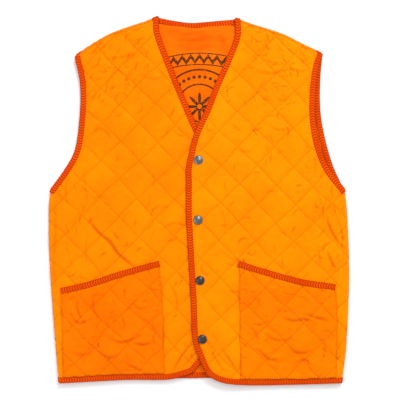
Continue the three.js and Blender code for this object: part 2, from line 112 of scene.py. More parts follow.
TOP_EDGE = [(7, -309), (-2, -286), (-11, -262), (-15, -189), (-20, -100), (-24, -26), (-24, 27)]
TOP_NECKLINE = [
    (-24, 27), (-24, 60), (-18, 88), (-9, 122), (11, 166), (28, 210), (48, 255), (66, 304), (65, 333.2)]
TOP_HEM = [(7, -309), (18, -324), (42, -336), (85, -341.3), (170, -341), (258, -338)]
UNDER_EDGE = [(-1, -307), (12, -290), (25, -262), (30, -230), (25, -150), (21, -40), (21, 27)]
UNDER_NECKLINE = [
    (21, 27), (20, 70), (7, 112), (-13, 158), (-41, 225), (-59, 270), (-73, 312), (-73.5, 336)]
UNDER_HEM = [(-1, -307), (-11, -318), (-28, -324.5), (-54, -331), (-132, -332), (-253, -338)]
print("the drawing is", RIGHT_SHOULDER[-1][1] - TOP_HEM[3][1], "mm from hem to neck")

# %% [markdown]
# ## Height and folds
# A panel is drawn flat, as it is cut. `place_front` and `place_back` then carry a flat point, and its
# distance out from the middle of the wall, to where it lies on the finished gilet: round the side fold,
# over the shoulder, or up where the fronts overlap. Bending the finished meshes with modifiers would be
# another way, but here panels, bindings, pockets and stitches all go through the same functions, so they
# can't drift apart. The wall is the whole quilted cloth, and the rises say over what length a front climbs
# from the lining to a fold. Near a seam the skin dives a little, so the two panels seem to be drawn together.

# %% Sizes that every panel shares
WALL = 3.2
HALF = WALL / 2
FOLD_RADIUS = 3.7
FOLD_REACH = FOLD_RADIUS + HALF
FOLD_TOP = HALF + 2 * FOLD_RADIUS
QUARTER = FOLD_RADIUS * math.pi / 2
OVER = FOLD_RADIUS * math.pi
FRONT_REST = 6.4
OVERLAP_UNDER = 7.7
OVERLAP_TOP = 13.2
SIDE_RISE = 110
SHOULDER_RISE = 90
SEAM_TUCK = 0.55
SEAM_LAP = 0.35
SEAM_EASE = 0.4
INNER_REACH = -1.2
print("cloth round a side fold:", round(QUARTER, 2), "mm, and over a shoulder:", round(OVER, 2), "mm")


def ease(x, low, high):
    """0 below low, 1 above high, and smooth between."""
    t = np.clip((np.asarray(x, float) - low) / (high - low), 0, 1)
    return t * t * (3 - 2 * t)


def across(line, y):
    """How far out a side line is at height y, as a positive x."""
    line = line[np.argsort(line[:, 1])]
    return np.interp(y, line[:, 1], np.abs(line[:, 0]))


def above(line, x):
    """How high a line is at x."""
    line = line[np.argsort(line[:, 0])]
    return np.interp(x, line[:, 0], line[:, 1])


# %% Turn lines, where the cloth starts to bend
def turn_line(fold, armhole):
    """Where a side's cloth leaves the flat, inside its fold by the reach of the bend."""
    line = draw([(x - math.copysign(FOLD_REACH, x), y) for x, y in fold])
    line[-1] = armhole[0]
    return line


TURNS = {-1: turn_line(RIGHT_FOLD, RIGHT_ARMHOLE), 1: turn_line(LEFT_FOLD, LEFT_ARMHOLE)}
SHOULDERS = {-1: draw(RIGHT_SHOULDER), 1: draw(LEFT_SHOULDER)}
BACK_TOP = np.vstack([SHOULDERS[-1], SHOULDERS[1]]) - (0, FOLD_REACH)
print("points on the turn lines:", [len(line) for line in TURNS.values()])


# %% The lie of a front, and of the back
def front_height(x, y, side):
    """Middle of a front's wall over the table. side is 1 for the left front, which is on top."""
    at_fold = 1 - ease(across(TURNS[side], y) - np.abs(x), 0, SIDE_RISE)
    at_fold = at_fold * (1 - ease(y, 20, 60))
    at_shoulder = 1 - ease(above(SHOULDERS[side], x) - FOLD_REACH - y, 0, SHOULDER_RISE)
    lift = np.maximum(at_fold, at_shoulder)
    toward_centre = 1 - ease(x, 34, 120) if side > 0 else ease(x, -120, -34)
    overlap = toward_centre * (1 - ease(y, 130, 230))
    swell = 0.9 * (1 + np.sin(x / 47) * np.cos(y / 61)) * (1 - lift) * (1 - overlap)
    top = OVERLAP_TOP if side > 0 else OVERLAP_UNDER
    return FRONT_REST + (FOLD_TOP - FRONT_REST) * lift + (top - FRONT_REST) * overlap + swell


def at_seam(past, seam):
    """0 before a seam and 1 at the cloth's rim, just past it."""
    return ease(past, seam - SEAM_EASE, seam + SEAM_LAP)


def wall_reach(out, tuck):
    """How far from a fold's axis a layer lies. The outer layers dive a little where they meet a seam."""
    return FOLD_RADIUS + np.maximum(out - SEAM_TUCK * tuck, np.minimum(out, INNER_REACH))


def place_front(x, y, out, side):
    """Carry flat points of a front, a distance out from its middle, to where they lie."""
    x, y, out = np.broadcast_arrays(*(np.asarray(v, float) for v in (x, y, out)))
    turn = across(TURNS[side], y)
    past_fold = np.maximum(np.abs(x) - turn, 0)
    past_shoulder = y - (above(SHOULDERS[side], x) - FOLD_REACH)
    reach = wall_reach(out, at_seam(past_fold, QUARTER) + at_seam(past_shoulder, 0))
    angle = past_fold / FOLD_RADIUS
    middle = front_height(np.clip(x, -turn, turn), y, side)
    folded_x = np.sign(x) * np.minimum(np.abs(x), turn) + np.sign(x) * reach * np.sin(angle)
    return np.stack([folded_x, y, middle - FOLD_RADIUS + reach * np.cos(angle)], -1)


def place_back(x, y, out):
    """The same for the back, which turns up round the sides and right over at the shoulders."""
    x, y, out = np.broadcast_arrays(*(np.asarray(v, float) for v in (x, y, out)))
    turn = np.where(x < 0, across(TURNS[-1], y), across(TURNS[1], y))
    past_side = np.maximum(np.abs(x) - turn, 0)
    past_top = np.maximum(y - above(BACK_TOP, x), 0)
    reach = wall_reach(out, at_seam(past_side, QUARTER) + at_seam(past_top, OVER))
    side_angle = past_side / FOLD_RADIUS
    top_angle = past_top / FOLD_RADIUS
    angle = np.maximum(side_angle, top_angle)
    folded_x = np.sign(x) * (np.minimum(np.abs(x), turn) + reach * np.sin(side_angle))
    folded_y = y - past_top + reach * np.sin(top_angle)
    return np.stack([folded_x, folded_y, HALF + FOLD_RADIUS - reach * np.cos(angle)], -1)


print("a front's middle beside the first snap:", float(front_height(20, 73, 1).round(2)), "mm up")

# %% [markdown]
# ## Meshes from rows of points
# Blender takes plain lists of corners and faces. `make_piece` shifts the points to the CAD frame, turns
# them into metres and keeps any per-corner number, such as how deep in a seam a corner lies, as an
# attribute that a material can read.

# %% Make one piece
def in_frame(points):
    """Points of the drawing, in millimetres, as corners in the CAD frame, in metres."""
    return ((points + np.array([*SHIFT, 0])) * MM).tolist()


def add_object(name, data):
    """A new object at the origin, in the scene."""
    thing = bpy.data.objects.new(name, data)
    bpy.context.scene.collection.objects.link(thing)
    return thing


def shade_smooth(mesh):
    mesh.polygons.foreach_set("use_smooth", np.ones(len(mesh.polygons), bool))


def make_piece(name, points, faces, attributes=None, uv=None):
    mesh = bpy.data.meshes.new(name)
    mesh.from_pydata(in_frame(points), [], [list(map(int, face)) for face in faces])
    for key, values in (attributes or {}).items():
        layer = mesh.attributes.new(key, "FLOAT", "POINT")
        layer.data.foreach_set("value", np.asarray(values, np.float32))
    if uv is not None:
        corners = np.zeros(len(mesh.loops), np.int32)
        mesh.loops.foreach_get("vertex_index", corners)
        layer = mesh.uv_layers.new(name="UVMap")
        layer.uv.foreach_set("vector", uv[corners].astype(np.float32).ravel())
    shade_smooth(mesh)
    return add_object(name, mesh)


# %% Faces from a table of points
def cells_of(keep):
    """The kept corners of a table that have a whole cell beside them, and the cells as faces on them."""
    cells = keep[:-1, :-1] & keep[1:, :-1] & keep[1:, 1:] & keep[:-1, 1:]
    rows, columns = np.nonzero(cells)
    width = keep.shape[1]
    corner = rows * width + columns
    quads = np.column_stack([corner, corner + width, corner + width + 1, corner + 1])
    used, numbers = np.unique(quads, return_inverse=True)
    return used, numbers.reshape(-1, 4)


def sides_of(faces):
    """Every side of every four-cornered face, as pairs of corners in the face's own order."""
    return np.vstack([faces[:, [k, (k + 1) % 4]] for k in range(4)])


def rim_of(faces, count):
    """Sides that only one face has."""
    pairs = sides_of(faces)
    return pairs[~np.isin(pairs[:, 0] * count + pairs[:, 1], pairs[:, 1] * count + pairs[:, 0])]


def closed_wall(faces, count):
    """Faces of an outer skin, an inner skin with the same corners, and the strip round the rim."""
    rim = rim_of(faces, count)
    strip = np.column_stack([rim[:, 1], rim[:, 0], rim[:, 0] + count, rim[:, 1] + count])
    return np.vstack([faces, faces[:, ::-1] + count, strip])


print("one cell as a closed wall:", len(closed_wall(np.array([[0, 1, 2, 3]]), 4)), "faces")

# %% Where points lie against a line or an outline
FAR = 1e9


def legs(line, points):
    """For each straight leg of a line: its vector, how far along it each point lies, and the gap to it."""
    for a, b in zip(line[:-1], line[1:]):
        along = b - a
        t = np.clip(((points - a) @ along) / (along @ along), 0, 1)
        yield along, t, points - a - t[:, None] * along


def distance_to(line, points):
    """Distance from each point to the nearest part of a line."""
    nearest = np.full(len(points), FAR)
    for _, _, gap in legs(line, points):
        nearest = np.minimum(nearest, np.linalg.norm(gap, axis=1))
    return nearest


def distance_to_any(lines, points):
    return np.min([distance_to(line, points) for line in lines], axis=0)


def inside(outline, points):
    """Whether each point is inside a closed outline."""
    x, y = points.T
    result = np.zeros(len(points), bool)
    for (x1, y1), (x2, y2) in zip(outline, np.roll(outline, -1, axis=0)):
        if y1 != y2:
            crosses = (y1 > y) != (y2 > y)
            result ^= crosses & (x < (x2 - x1) * (y - y1) / (y2 - y1) + x1)
    return result


def area_of(outline):
    x, y = outline.T
    return abs(np.dot(x, np.roll(y, -1)) - np.dot(y, np.roll(x, -1))) / 2


def thinned(line, step=6):
    """Every few points of a line, for tests that don't need them all."""
    return chain(line[::step], line[-1:])


print("area of a 10 mm square:", area_of(np.array([(0, 0), (10, 0), (10, 10), (0, 10)])), "mm2")

# %% [markdown]
# ## The cut of each panel
# Each outline runs anticlockwise, so the cloth is always on its left. It is drawn flat: past a turn line
# it goes on by the length of the bend. The bound edges are kept apart from the seams, because a binding
# covers them and the quilting thins out towards them.

# %% Flat outlines
SEAM_POINTS = 60
PAST_SEAM = 2
SLANT_POINTS = 6


def side_seam(side, low_y, high_y):
    """The rim of the cloth at a side seam, a quarter turn past the turn line."""
    y = np.linspace(low_y, high_y, SEAM_POINTS)
    return np.column_stack([side * (across(TURNS[side], y) + QUARTER + SEAM_LAP), y])


def run_out(line, side):
    """A straight run on from an armhole's first point, at its own slant, to just past the side seam."""
    way = (line[0] - line[SLANT_POINTS]) / np.linalg.norm(line[0] - line[SLANT_POINTS])
    reach = (QUARTER + PAST_SEAM) / abs(way[0])
    return line[0] + np.linspace(1, 0, 9)[:, None] * way * reach


def rounded(climb, toward, reach=2.6):
    """Draws the middle of a run over the shoulder fold in towards the cloth, so its corner is round."""
    bow = np.sin(np.linspace(0, np.pi, len(climb)))
    return climb + np.column_stack([toward * reach * bow, 0 * bow])


class Cut:
    """A panel as it is cut: outline, bound edges, and how to lay a flat point on the gilet."""

    def __init__(self, name, rings, paths, place, faces_down=False, open_edges=(), seams=()):
        self.name = name
        self.open_edges = [thinned(line) for line in open_edges]
        self.seams = [thinned(line) for line in seams]
        self.paths = paths
        self.place = place
        self.faces_down = faces_down
        self.outline = chain(*rings)
        self.bound = [thinned(path) for path in paths.values()]


def cut_front(side):
    shoulder = draw(np.array(LEFT_SHOULDER if side > 0 else RIGHT_SHOULDER) - (0, FOLD_REACH))
    armhole = draw(LEFT_ARMHOLE if side > 0 else RIGHT_ARMHOLE)
    neckline = draw(TOP_NECKLINE if side > 0 else UNDER_NECKLINE)
    edge = draw(TOP_EDGE if side > 0 else UNDER_EDGE)
    hem = draw(TOP_HEM if side > 0 else UNDER_HEM)
    low, high = hem[-1][1], armhole[0][1]
    seam = side_seam(side, low, high)
    raised = shoulder + (0, SEAM_LAP)
    edge_path = chain(neckline[::-1], edge[::-1], hem, [[seam[0][0], low]])
    armhole_path = chain(run_out(armhole, side), armhole, [armhole[-1] + (0, 2.5)])
    rings = [hem, seam, armhole, raised, neckline[::-1], edge[::-1]]
    paths = {"edge": edge_path, "armhole": armhole_path}
    if side < 0:
        rings = [line[::-1] for line in reversed(rings)]
        paths = {key: path[::-1] for key, path in paths.items()}
    return Cut("front_left" if side > 0 else "front_right", rings, paths,
               lambda x, y, out: place_front(x, y, out, side), seams=(seam, raised))


def cut_back():
    right, left = draw(RIGHT_ARMHOLE_BACK), draw(LEFT_ARMHOLE_BACK)
    neck, hem = draw(BACK_NECK), draw(BACK_HEM)
    seams = {side: side_seam(side, hem[0][1], left[0][1]) for side in (-1, 1)}
    right_top, left_top = (
        draw(np.array(marks) - (0, FOLD_REACH)) + (0, OVER + SEAM_LAP)
        for marks in (RIGHT_SHOULDER, LEFT_SHOULDER))
    climb = np.linspace(0, 1, 12)[:, None] * (0, OVER + PAST_SEAM)
    rings = [hem, seams[1], left, left_top, neck[::-1], right_top[::-1], right[::-1], seams[-1][::-1]]
    paths = {
        "hem": chain([seams[-1][0]], hem, [seams[1][0]]),
        "left_armhole": chain(run_out(left, 1), left, rounded(left[-1] + climb, -1)),
        "neck": chain(rounded(neck[-1] + climb, 1)[::-1], neck[::-1], rounded(neck[0] + climb, -1)),
        "right_armhole": chain(rounded(right[-1] + climb, 1)[::-1], right[::-1], run_out(right, -1)[::-1]),
    }
    return Cut("back", rings, paths, place_back, faces_down=True,
               seams=(*seams.values(), right_top, left_top))


# %% Flat outlines of the pockets, and all the cuts
POCKET_LIFT = 3.4


def cut_pocket(side):
    marks = {
        -1: dict(top=[(-255, -162), (-205, -151), (-150, -133), (-74, -112)],
                 outer=[(-255, -162), (-252, -250), (-250, -327)],
                 inner=[(-74, -112), (-66, -200), (-63.5, -320.5)],
                 bottom=[(-250, -327), (-150, -321.5), (-63.5, -320.5)]),
        1: dict(top=[(251, -155), (190, -146), (120, -127), (73, -112)],
                outer=[(251, -155), (255, -230), (253, -327.5)],
                inner=[(73, -112), (74, -200), (76.5, -330)],
                bottom=[(253, -327.5), (150, -330.5), (76.5, -330)]),
    }[side]
    top, outer, inner, bottom = (draw(marks[key]) for key in ("top", "outer", "inner", "bottom"))
    rings = [bottom, inner[::-1], top[::-1], outer] if side < 0 else [bottom[::-1], outer[::-1], top, inner]
    path = top[::-1] if side < 0 else top
    return Cut("pocket_left" if side > 0 else "pocket_right", rings, {"top": path},
               lambda x, y, out: place_front(x, y, np.asarray(out) + POCKET_LIFT, side),
               open_edges=(outer, inner, bottom))


cuts = {cut.name: cut for cut in (cut_back(), cut_front(-1), cut_front(1), cut_pocket(-1), cut_pocket(1))}
for cut in cuts.values():
    print(cut.name, "flat area", round(area_of(cut.outline) / 1e6, 4), "m2")

# %% [markdown]
# ## Quilting
# The shell, wadding and lining of a quilted cloth are stitched together on a diamond lattice. Between
# the lines the wadding pushes the shell up, and along them the thread pulls it down and gathers it in
# small puckers. So the net of each panel is turned 45 degrees and its rows fall on the stitch lines. A
# cloth simulation then blows up every diamond, with the stitched rows pinned, a little too much cloth
# and no gravity. The net is coarse for the simulation and is refined afterwards, so the seams stay sharp.

# %% The lattice
SQUARE = 48.4
WANDER = 2.6
SHORT_WAVES = 0.3
OPEN_SNAP = 1.05
SEAM_SNAP = 1.5
DIAGONALS = np.array([[1, 1], [-1, 1]]) / math.sqrt(2)


class Net:
    """A net of square cells on the quilting lattice, inside a cut."""

    def __init__(self, cut, node, divisions, margin):
        self.cut, self.divisions, self.step = cut, divisions, SQUARE / divisions
        turned = (cut.outline - node) @ DIAGONALS.T / self.step
        low = np.floor(turned.min(0) / divisions).astype(int) * divisions
        high = np.ceil(turned.max(0) / divisions).astype(int) * divisions
        self.i, self.j = np.meshgrid(*(np.arange(a, b + 1) for a, b in zip(low, high)), indexing="ij")
        flat = self.step * (self.i[..., None] * DIAGONALS[0] + self.j[..., None] * DIAGONALS[1]) + node
        points = flat.reshape(-1, 2)
        to_bound = distance_to_any(cut.bound, points)
        keep = inside(thinned(cut.outline, 3), points) & (to_bound > margin)
        self.used, self.faces = cells_of(keep.reshape(self.i.shape))
        self.points = points[self.used]
        self.to_bound = to_bound[self.used]
        self.wander()
        for line in cut.open_edges:
            self.snap(line, OPEN_SNAP)
        for line in cut.seams:
            self.snap(line, SEAM_SNAP)

    def wander(self):
        """Stitch lines are never quite straight: shift the net a little, on long waves and short ones."""
        x, y = self.points.T
        shift = np.column_stack([np.sin(y / 37 + x / 90), np.sin(x / 41 - y / 75)])
        shift = shift + SHORT_WAVES * np.column_stack([np.sin(x / 19 + y / 13), np.sin(y / 17 - x / 15)])
        to_seam = distance_to_any(self.cut.seams or self.cut.open_edges, self.points)
        free = ease(self.to_bound, 6, 30) * ease(to_seam, 4, 30)
        self.points = self.points + WANDER * shift * free[:, None]

    def snap(self, line, steps):
        """Move the rim's corners that are beside an unbound edge on to that edge."""
        rim = np.unique(rim_of(self.faces, len(self.points)))
        rim = rim[distance_to(line, self.points[rim]) < self.step * steps]
        corners = self.points[rim]
        best = np.full(len(rim), FAR)
        target = corners.copy()
        for _, _, gap in legs(line, corners):
            length = np.linalg.norm(gap, axis=1)
            closer = length < best
            target[closer] = (corners - gap)[closer]
            best[closer] = length[closer]
        self.points[rim] = target

    def pick(self, values):
        """The values of a table like net.i at the corners in use."""
        return values.reshape(-1)[self.used]

    def from_line(self):
        """0 on a stitch line and 1 in the middle between two, along each direction."""
        parts = [np.abs(self.pick(k) / self.divisions % 1 - 0.5) * 2 for k in (self.i, self.j)]
        return 1 - parts[0], 1 - parts[1]


print("stitch lines are", SQUARE, "mm apart, and cross every", round(SQUARE * math.sqrt(2), 1), "mm")

# %% Blow up the diamonds with a cloth simulation
SLACK = 0.012
FRAMES = 14
ROUGH_START = 0.12


def coarse_net(net):
    """Every second row of a net: its corners in the table, their lattice numbers and their faces."""
    kept = np.zeros(net.i.size, bool)
    kept[net.used] = True
    used, faces = cells_of(kept.reshape(net.i.shape)[::2, ::2])
    i, j = (k[::2, ::2].reshape(-1)[used] for k in (net.i, net.j))
    return used, faces, i, j


def settled(net, seed):
    """How far each corner of every second row rises, in mm, as a table like net.i."""
    used, faces, i, j = coarse_net(net)
    flat = net.step * (i[:, None] * DIAGONALS[0] + j[:, None] * DIAGONALS[1])
    start = np.random.default_rng(seed).normal(0, ROUGH_START, len(flat))
    on_line = (i % net.divisions == 0) | (j % net.divisions == 0)
    start[on_line] = 0
    mesh = bpy.data.meshes.new("blank")
    mesh.from_pydata((np.column_stack([flat, start]) * MM).tolist(), [], faces.tolist())
    blank = add_object("blank", mesh)
    sewn = np.unique(np.concatenate([np.nonzero(on_line)[0], rim_of(faces, len(used)).ravel()]))
    blank.vertex_groups.new(name="sewn").add(sewn.tolist(), 1.0, "REPLACE")
    cloth = blank.modifiers.new("Cloth", "CLOTH")
    cloth.settings.quality = 4
    cloth.settings.mass = 0.1
    cloth.settings.tension_stiffness = cloth.settings.compression_stiffness = 12
    cloth.settings.bending_stiffness = 0.02
    cloth.settings.use_pressure = True
    cloth.settings.uniform_pressure_force = 4
    cloth.settings.shrink_min = -SLACK
    cloth.settings.vertex_group_mass = "sewn"
    cloth.settings.effector_weights.gravity = 0
    cloth.collision_settings.use_collision = False
    cloth.point_cache.frame_start, cloth.point_cache.frame_end = 1, FRAMES
    for number in range(1, FRAMES + 1):
        bpy.context.scene.frame_set(number)
    done = blank.evaluated_get(bpy.context.evaluated_depsgraph_get()).data
    place = np.zeros(len(done.vertices) * 3)
    done.vertices.foreach_get("co", place)
    rise = np.zeros(net.i[::2, ::2].shape)
    rise.reshape(-1)[used] = place.reshape(-1, 3)[:, 2] / MM
    bpy.data.objects.remove(blank)
    bpy.context.scene.frame_set(1)
    return rise


def refined(table, shape):
    """Values between the rows of a coarse table, on smooth curves through four of them."""
    for axis in (0, 1):
        table = np.moveaxis(table, axis, 0)
        padded = np.pad(table, ((1, 1), (0, 0)), mode="edge")
        middle = (9 * (padded[1:-2] + padded[2:-1]) - padded[:-3] - padded[3:]) / 16
        finer = np.zeros((2 * len(table) - 1, table.shape[1]))
        finer[::2], finer[1::2] = table, middle
        table = np.moveaxis(finer, 0, axis)
    return table[:shape[0], :shape[1]]


print("a table of 5 rows, refined:", refined(np.zeros((5, 5)), (9, 9)).shape[0], "rows")

# %% The rise of the shell between the lines
PILLOW = 1.9
PILLOW_FLATNESS = 7
HIGHEST = 2.3
LOWEST = -0.2
DRAWN_SHARE = 0.6
BLOWN_SHARE = 0.42
GATHER_STEP = 8.5
GATHER_DEPTH = 0.3


def gathers(net, a, b):
    """Small ripples square to each stitch line, where the thread has drawn the cloth up."""
    i, j = net.pick(net.i), net.pick(net.j)
    rise = 0
    for near, other, number in ((a, j, i), (b, i, j)):
        along = other * net.step
        phase = 2.2 * np.sin(along / 31 + number // net.divisions * 1.7)
        ripple = np.sin(math.tau * along / GATHER_STEP + phase) * (0.6 + 0.4 * np.sin(along / 19 + number))
        rise = rise + GATHER_DEPTH * ripple * ease(near, 0, 0.12) * (1 - ease(near, 0.1, 0.42))
    return rise


def pillows(net, seed):
    """Height of the shell over its stitch lines, in mm."""
    a, b = net.from_line()
    plain = ((1 - (1 - a) ** PILLOW_FLATNESS) * (1 - (1 - b) ** PILLOW_FLATNESS)) ** 0.8
    row, column = (np.floor(net.pick(k) / net.divisions) for k in (net.i, net.j))
    fullness = 0.85 + 0.3 * np.abs(np.sin(row * 57.3 + column * 91.7 + seed))
    rise = PILLOW * plain * fullness + gathers(net, a, b)
    blown = refined(settled(net, seed), net.i.shape)
    blown = net.pick(blown)
    print(net.cut.name, "cloth rose", blown.min().round(2), "to", blown.max().round(2), "mm")
    rise = DRAWN_SHARE * rise + np.clip(blown, -HIGHEST, HIGHEST) * BLOWN_SHARE
    return np.clip(rise, LOWEST, HIGHEST)


print("wadding lifts the shell by", PILLOW, "mm in the middle of a diamond, before the simulation")

# %% [markdown]
# ## Creases
# Worn cloth keeps creases where it was bent: long ones from the underarm to the pocket, short ones under
# the shoulders and beside the armholes. Each is a soft trough along a drawn line, with a low ridge
# on one side. Shorter puckers are scattered with a fixed seed, more of them where the cloth was sewn
# tight.

# %% Press creases into a set of flat points
DEEPEST = -1.9
HIGHEST_RIDGE = 1.3


def pressed(points, creases):
    """How far the cloth sinks or rises at flat points. A crease is its line, its width and its depth."""
    rise = np.zeros(len(points))
    for line, width, depth in creases:
        line = draw(line, 4)
        near = np.all((points > line.min(0) - 4 * width) & (points < line.max(0) + 4 * width), axis=1)
        if not near.any():
            continue
        best = np.full(near.sum(), FAR)
        offset, run = np.zeros(len(best)), np.zeros(len(best))
        for k, (along, t, gap) in enumerate(legs(line, points[near])):
            length = np.linalg.norm(gap, axis=1)
            closer = length < best
            best[closer] = length[closer]
            side = np.sign(along[0] * gap[:, 1] - along[1] * gap[:, 0])
            offset[closer] = (side * length)[closer]
            run[closer] = ((k + t) / (len(line) - 1))[closer]
        fade = np.sin(np.pi * np.clip(run, 0.02, 0.98)) ** 0.6
        trough = -np.exp(-(offset / width) ** 2)
        ridge = 0.75 * np.exp(-((offset - 1.7 * width) / width) ** 2)
        rise[near] += depth * fade * (trough + ridge)
    return np.clip(rise, DEEPEST, HIGHEST_RIDGE)


def puckers(seed, count, low, high, length=(12, 34), depth=(0.4, 1.1), width=(1.4, 2.4), heading=None):
    """Short bent creases scattered over a box."""
    rng = np.random.default_rng(seed)
    found = []
    for _ in range(count):
        start = rng.uniform(low, high)
        angle = rng.uniform(0, math.pi) if heading is None else math.radians(heading + rng.normal(0, 16))
        reach = rng.uniform(*length)
        way = np.array([math.cos(angle), math.sin(angle)])
        bow = np.array([-way[1], way[0]]) * rng.normal(0, 0.16) * reach
        line = [start, start + way * reach / 2 + bow, start + way * reach]
        found.append((line, rng.uniform(*width), rng.uniform(*depth)))
    return found


WAVES = 5


def rolling(points, seed, wavelength):
    """A gentle uneven swell, between -1 and 1, from a few sine waves."""
    rng = np.random.default_rng(seed)
    total = np.zeros(len(points))
    for _ in range(WAVES):
        angle = rng.uniform(0, math.tau)
        pace = math.tau / wavelength * rng.uniform(0.7, 1.4)
        way = np.array([math.cos(angle), math.sin(angle)])
        total += np.sin(points @ (pace * way) + rng.uniform(0, 6))
    return total / WAVES


sample = pressed(np.array([(0.0, 0.0)]), [([(-20, 0), (0, 0), (20, 0)], 2.5, 1.0)])
print("a crease 1 mm deep sinks", round(-float(sample[0]), 2), "mm in its middle")


# %% Creases of each panel
CREASES = {
    "front_right": [
        ([(-203, -32), (-187, -58), (-165, -76), (-148, -100), (-115, -126)], 3.4, 1.9),
        ([(-160, -58), (-153, -66), (-146, -76)], 2.6, 1.3),
        ([(-207, -66), (-208, -100), (-206, -130)], 2.4, 0.8),
        ([(-266, 8), (-264, -60), (-267, -120), (-262, -170)], 2.8, 0.9),
        ([(-214, 60), (-208, 20), (-205, -14)], 2.4, 0.9),
        ([(-196, 120), (-182, 132), (-168, 122), (-160, 106)], 2.6, 1.0),
        ([(-176, 192), (-168, 218), (-150, 238)], 2.6, 1.0),
        ([(-140, 190), (-134, 222), (-118, 246)], 2.6, 0.9),
        ([(-178, 258), (-140, 262), (-104, 270)], 3.0, 0.8),
        ([(-110, 230), (-84, 222), (-62, 226)], 2.6, 0.9),
        ([(-52, 130), (-34, 118), (-14, 122)], 2.4, 0.8),
        ([(-10, -262), (-30, -285), (-48, -316)], 2.6, 1.5),
        ([(8, -270), (-14, -290), (-30, -312)], 2.4, 1.2),
        ([(-58, -150), (-44, -172), (-40, -200), (-50, -226)], 2.6, 1.0),
        ([(-72, -60), (-50, -44), (-20, -50)], 2.6, 0.9),
    ],
    "front_left": [
        ([(233, -26), (240, -48), (252, -72), (270, -93)], 3.0, 1.8),
        ([(237, -93), (243, -112), (254, -132)], 3.0, 1.6),
        ([(214, 20), (226, -10), (230, -44)], 2.6, 0.9),
        ([(250, -20), (262, -56), (268, -90)], 2.6, 0.8),
        ([(96, 238), (130, 232), (168, 240), (196, 232)], 2.8, 1.0),
        ([(148, 252), (164, 246), (178, 254)], 2.4, 0.8),
        ([(200, 226), (206, 196), (214, 170)], 2.4, 0.9),
        ([(128, 138), (146, 128), (164, 130)], 2.6, 0.8),
        ([(60, 96), (84, 88), (102, 92)], 2.4, 0.7),
        ([(30, -6), (46, -30), (50, -62)], 2.4, 0.7),
        ([(34, -92), (66, -110), (96, -112)], 2.8, 0.8),
        ([(38, -268), (58, -296), (76, -322)], 2.6, 1.2),
        ([(16, -262), (30, -290), (48, -318)], 2.4, 1.0),
        ([(60, -290), (72, -304), (92, -318)], 2.2, 0.8),
    ],
    "pocket_right": [
        ([(-226, -178), (-220, -210), (-206, -232)], 2.8, 1.2),
        ([(-196, -172), (-192, -206), (-180, -222)], 2.4, 1.1),
        ([(-128, -188), (-108, -200), (-92, -196)], 2.6, 1.0),
        ([(-240, -206), (-222, -226), (-196, -218)], 2.8, 1.3),
        ([(-170, -250), (-144, -262), (-118, -254), (-104, -246)], 3.0, 1.4),
        ([(-124, -262), (-104, -266), (-84, -262)], 3.2, 1.4),
        ([(-190, -276), (-166, -290), (-146, -284)], 2.8, 1.2),
        ([(-236, -280), (-206, -284), (-186, -262)], 2.6, 1.1),
        ([(-140, -296), (-116, -310), (-96, -316)], 2.6, 1.2),
        ([(-112, -214), (-90, -228), (-74, -250)], 2.4, 0.9),
    ],
    "pocket_left": [
        ([(148, -214), (172, -222), (196, -220), (216, -226)], 3.0, 1.5),
        ([(188, -208), (214, -216), (240, -222)], 3.0, 1.6),
        ([(96, -178), (112, -188), (106, -200)], 2.4, 1.0),
        ([(118, -244), (142, -258), (170, -256)], 2.8, 1.3),
        ([(108, -274), (128, -292), (150, -294)], 3.2, 1.4),
        ([(162, -270), (186, -282), (210, -276)], 2.8, 1.2),
        ([(86, -228), (104, -244), (112, -268)], 2.4, 1.0),
        ([(206, -178), (222, -190), (236, -186)], 2.4, 1.0),
        ([(140, -196), (152, -206), (170, -202)], 2.4, 1.0),
        ([(176, -300), (196, -294), (206, -310)], 2.6, 1.2),
        ([(226, -250), (232, -276), (224, -302)], 2.6, 0.9),
    ],
    "back": [
        ([(-140, 250), (-40, 262), (60, 254), (150, 246)], 5.0, 0.7),
        ([(-220, 0), (-150, -40), (-120, -110)], 4.0, 0.7),
        ([(220, 0), (156, -44), (130, -116)], 4.0, 0.7),
        ([(-160, -250), (-40, -240), (70, -250)], 5.0, 0.6),
    ],
}
SCATTER = {
    "front_right": (
        puckers(11, 60, (-215, 175), (-95, 318), (10, 28), (0.6, 1.5), (1.1, 1.8), 62)
        + puckers(14, 30, (-212, 150), (-110, 312), (10, 26), (0.5, 1.2), (1.1, 1.8), 150)
        + puckers(12, 26, (-262, -150), (-200, 30), heading=100)
        + puckers(13, 80, (-250, -330), (10, 200), (10, 30), (0.7, 1.6), (1.2, 2.0))),
    "front_left": (
        puckers(21, 60, (90, 170), (222, 318), (10, 28), (0.6, 1.5), (1.1, 1.8), 128)
        + puckers(24, 30, (90, 150), (220, 312), (10, 26), (0.5, 1.2), (1.1, 1.8), 12)
        + puckers(22, 32, (205, -140), (266, 60), heading=78)
        + puckers(23, 80, (10, -330), (250, 200), (10, 30), (0.7, 1.6), (1.2, 2.0))),
    "pocket_right": puckers(31, 70, (-248, -320), (-70, -130), (9, 26), (0.5, 1.2), (1.1, 1.9)),
    "pocket_left": puckers(41, 76, (78, -326), (250, -130), (9, 28), (0.5, 1.2), (1.1, 1.9), 165),
    "back": puckers(51, 70, (-260, -330), (260, 320), depth=(0.3, 0.6)),
}
print("creases and puckers:", {name: (len(CREASES[name]), len(SCATTER[name])) for name in CREASES})

# %% [markdown]
# ## Sew the panels
# A panel is a closed wall: the quilted outer skin, a plain inner skin and a strip round the rim. It is
# thin where a binding or a pocket covers it. The back lies on the table, so its pillows are pressed flat
# there and only its seams and creases show.

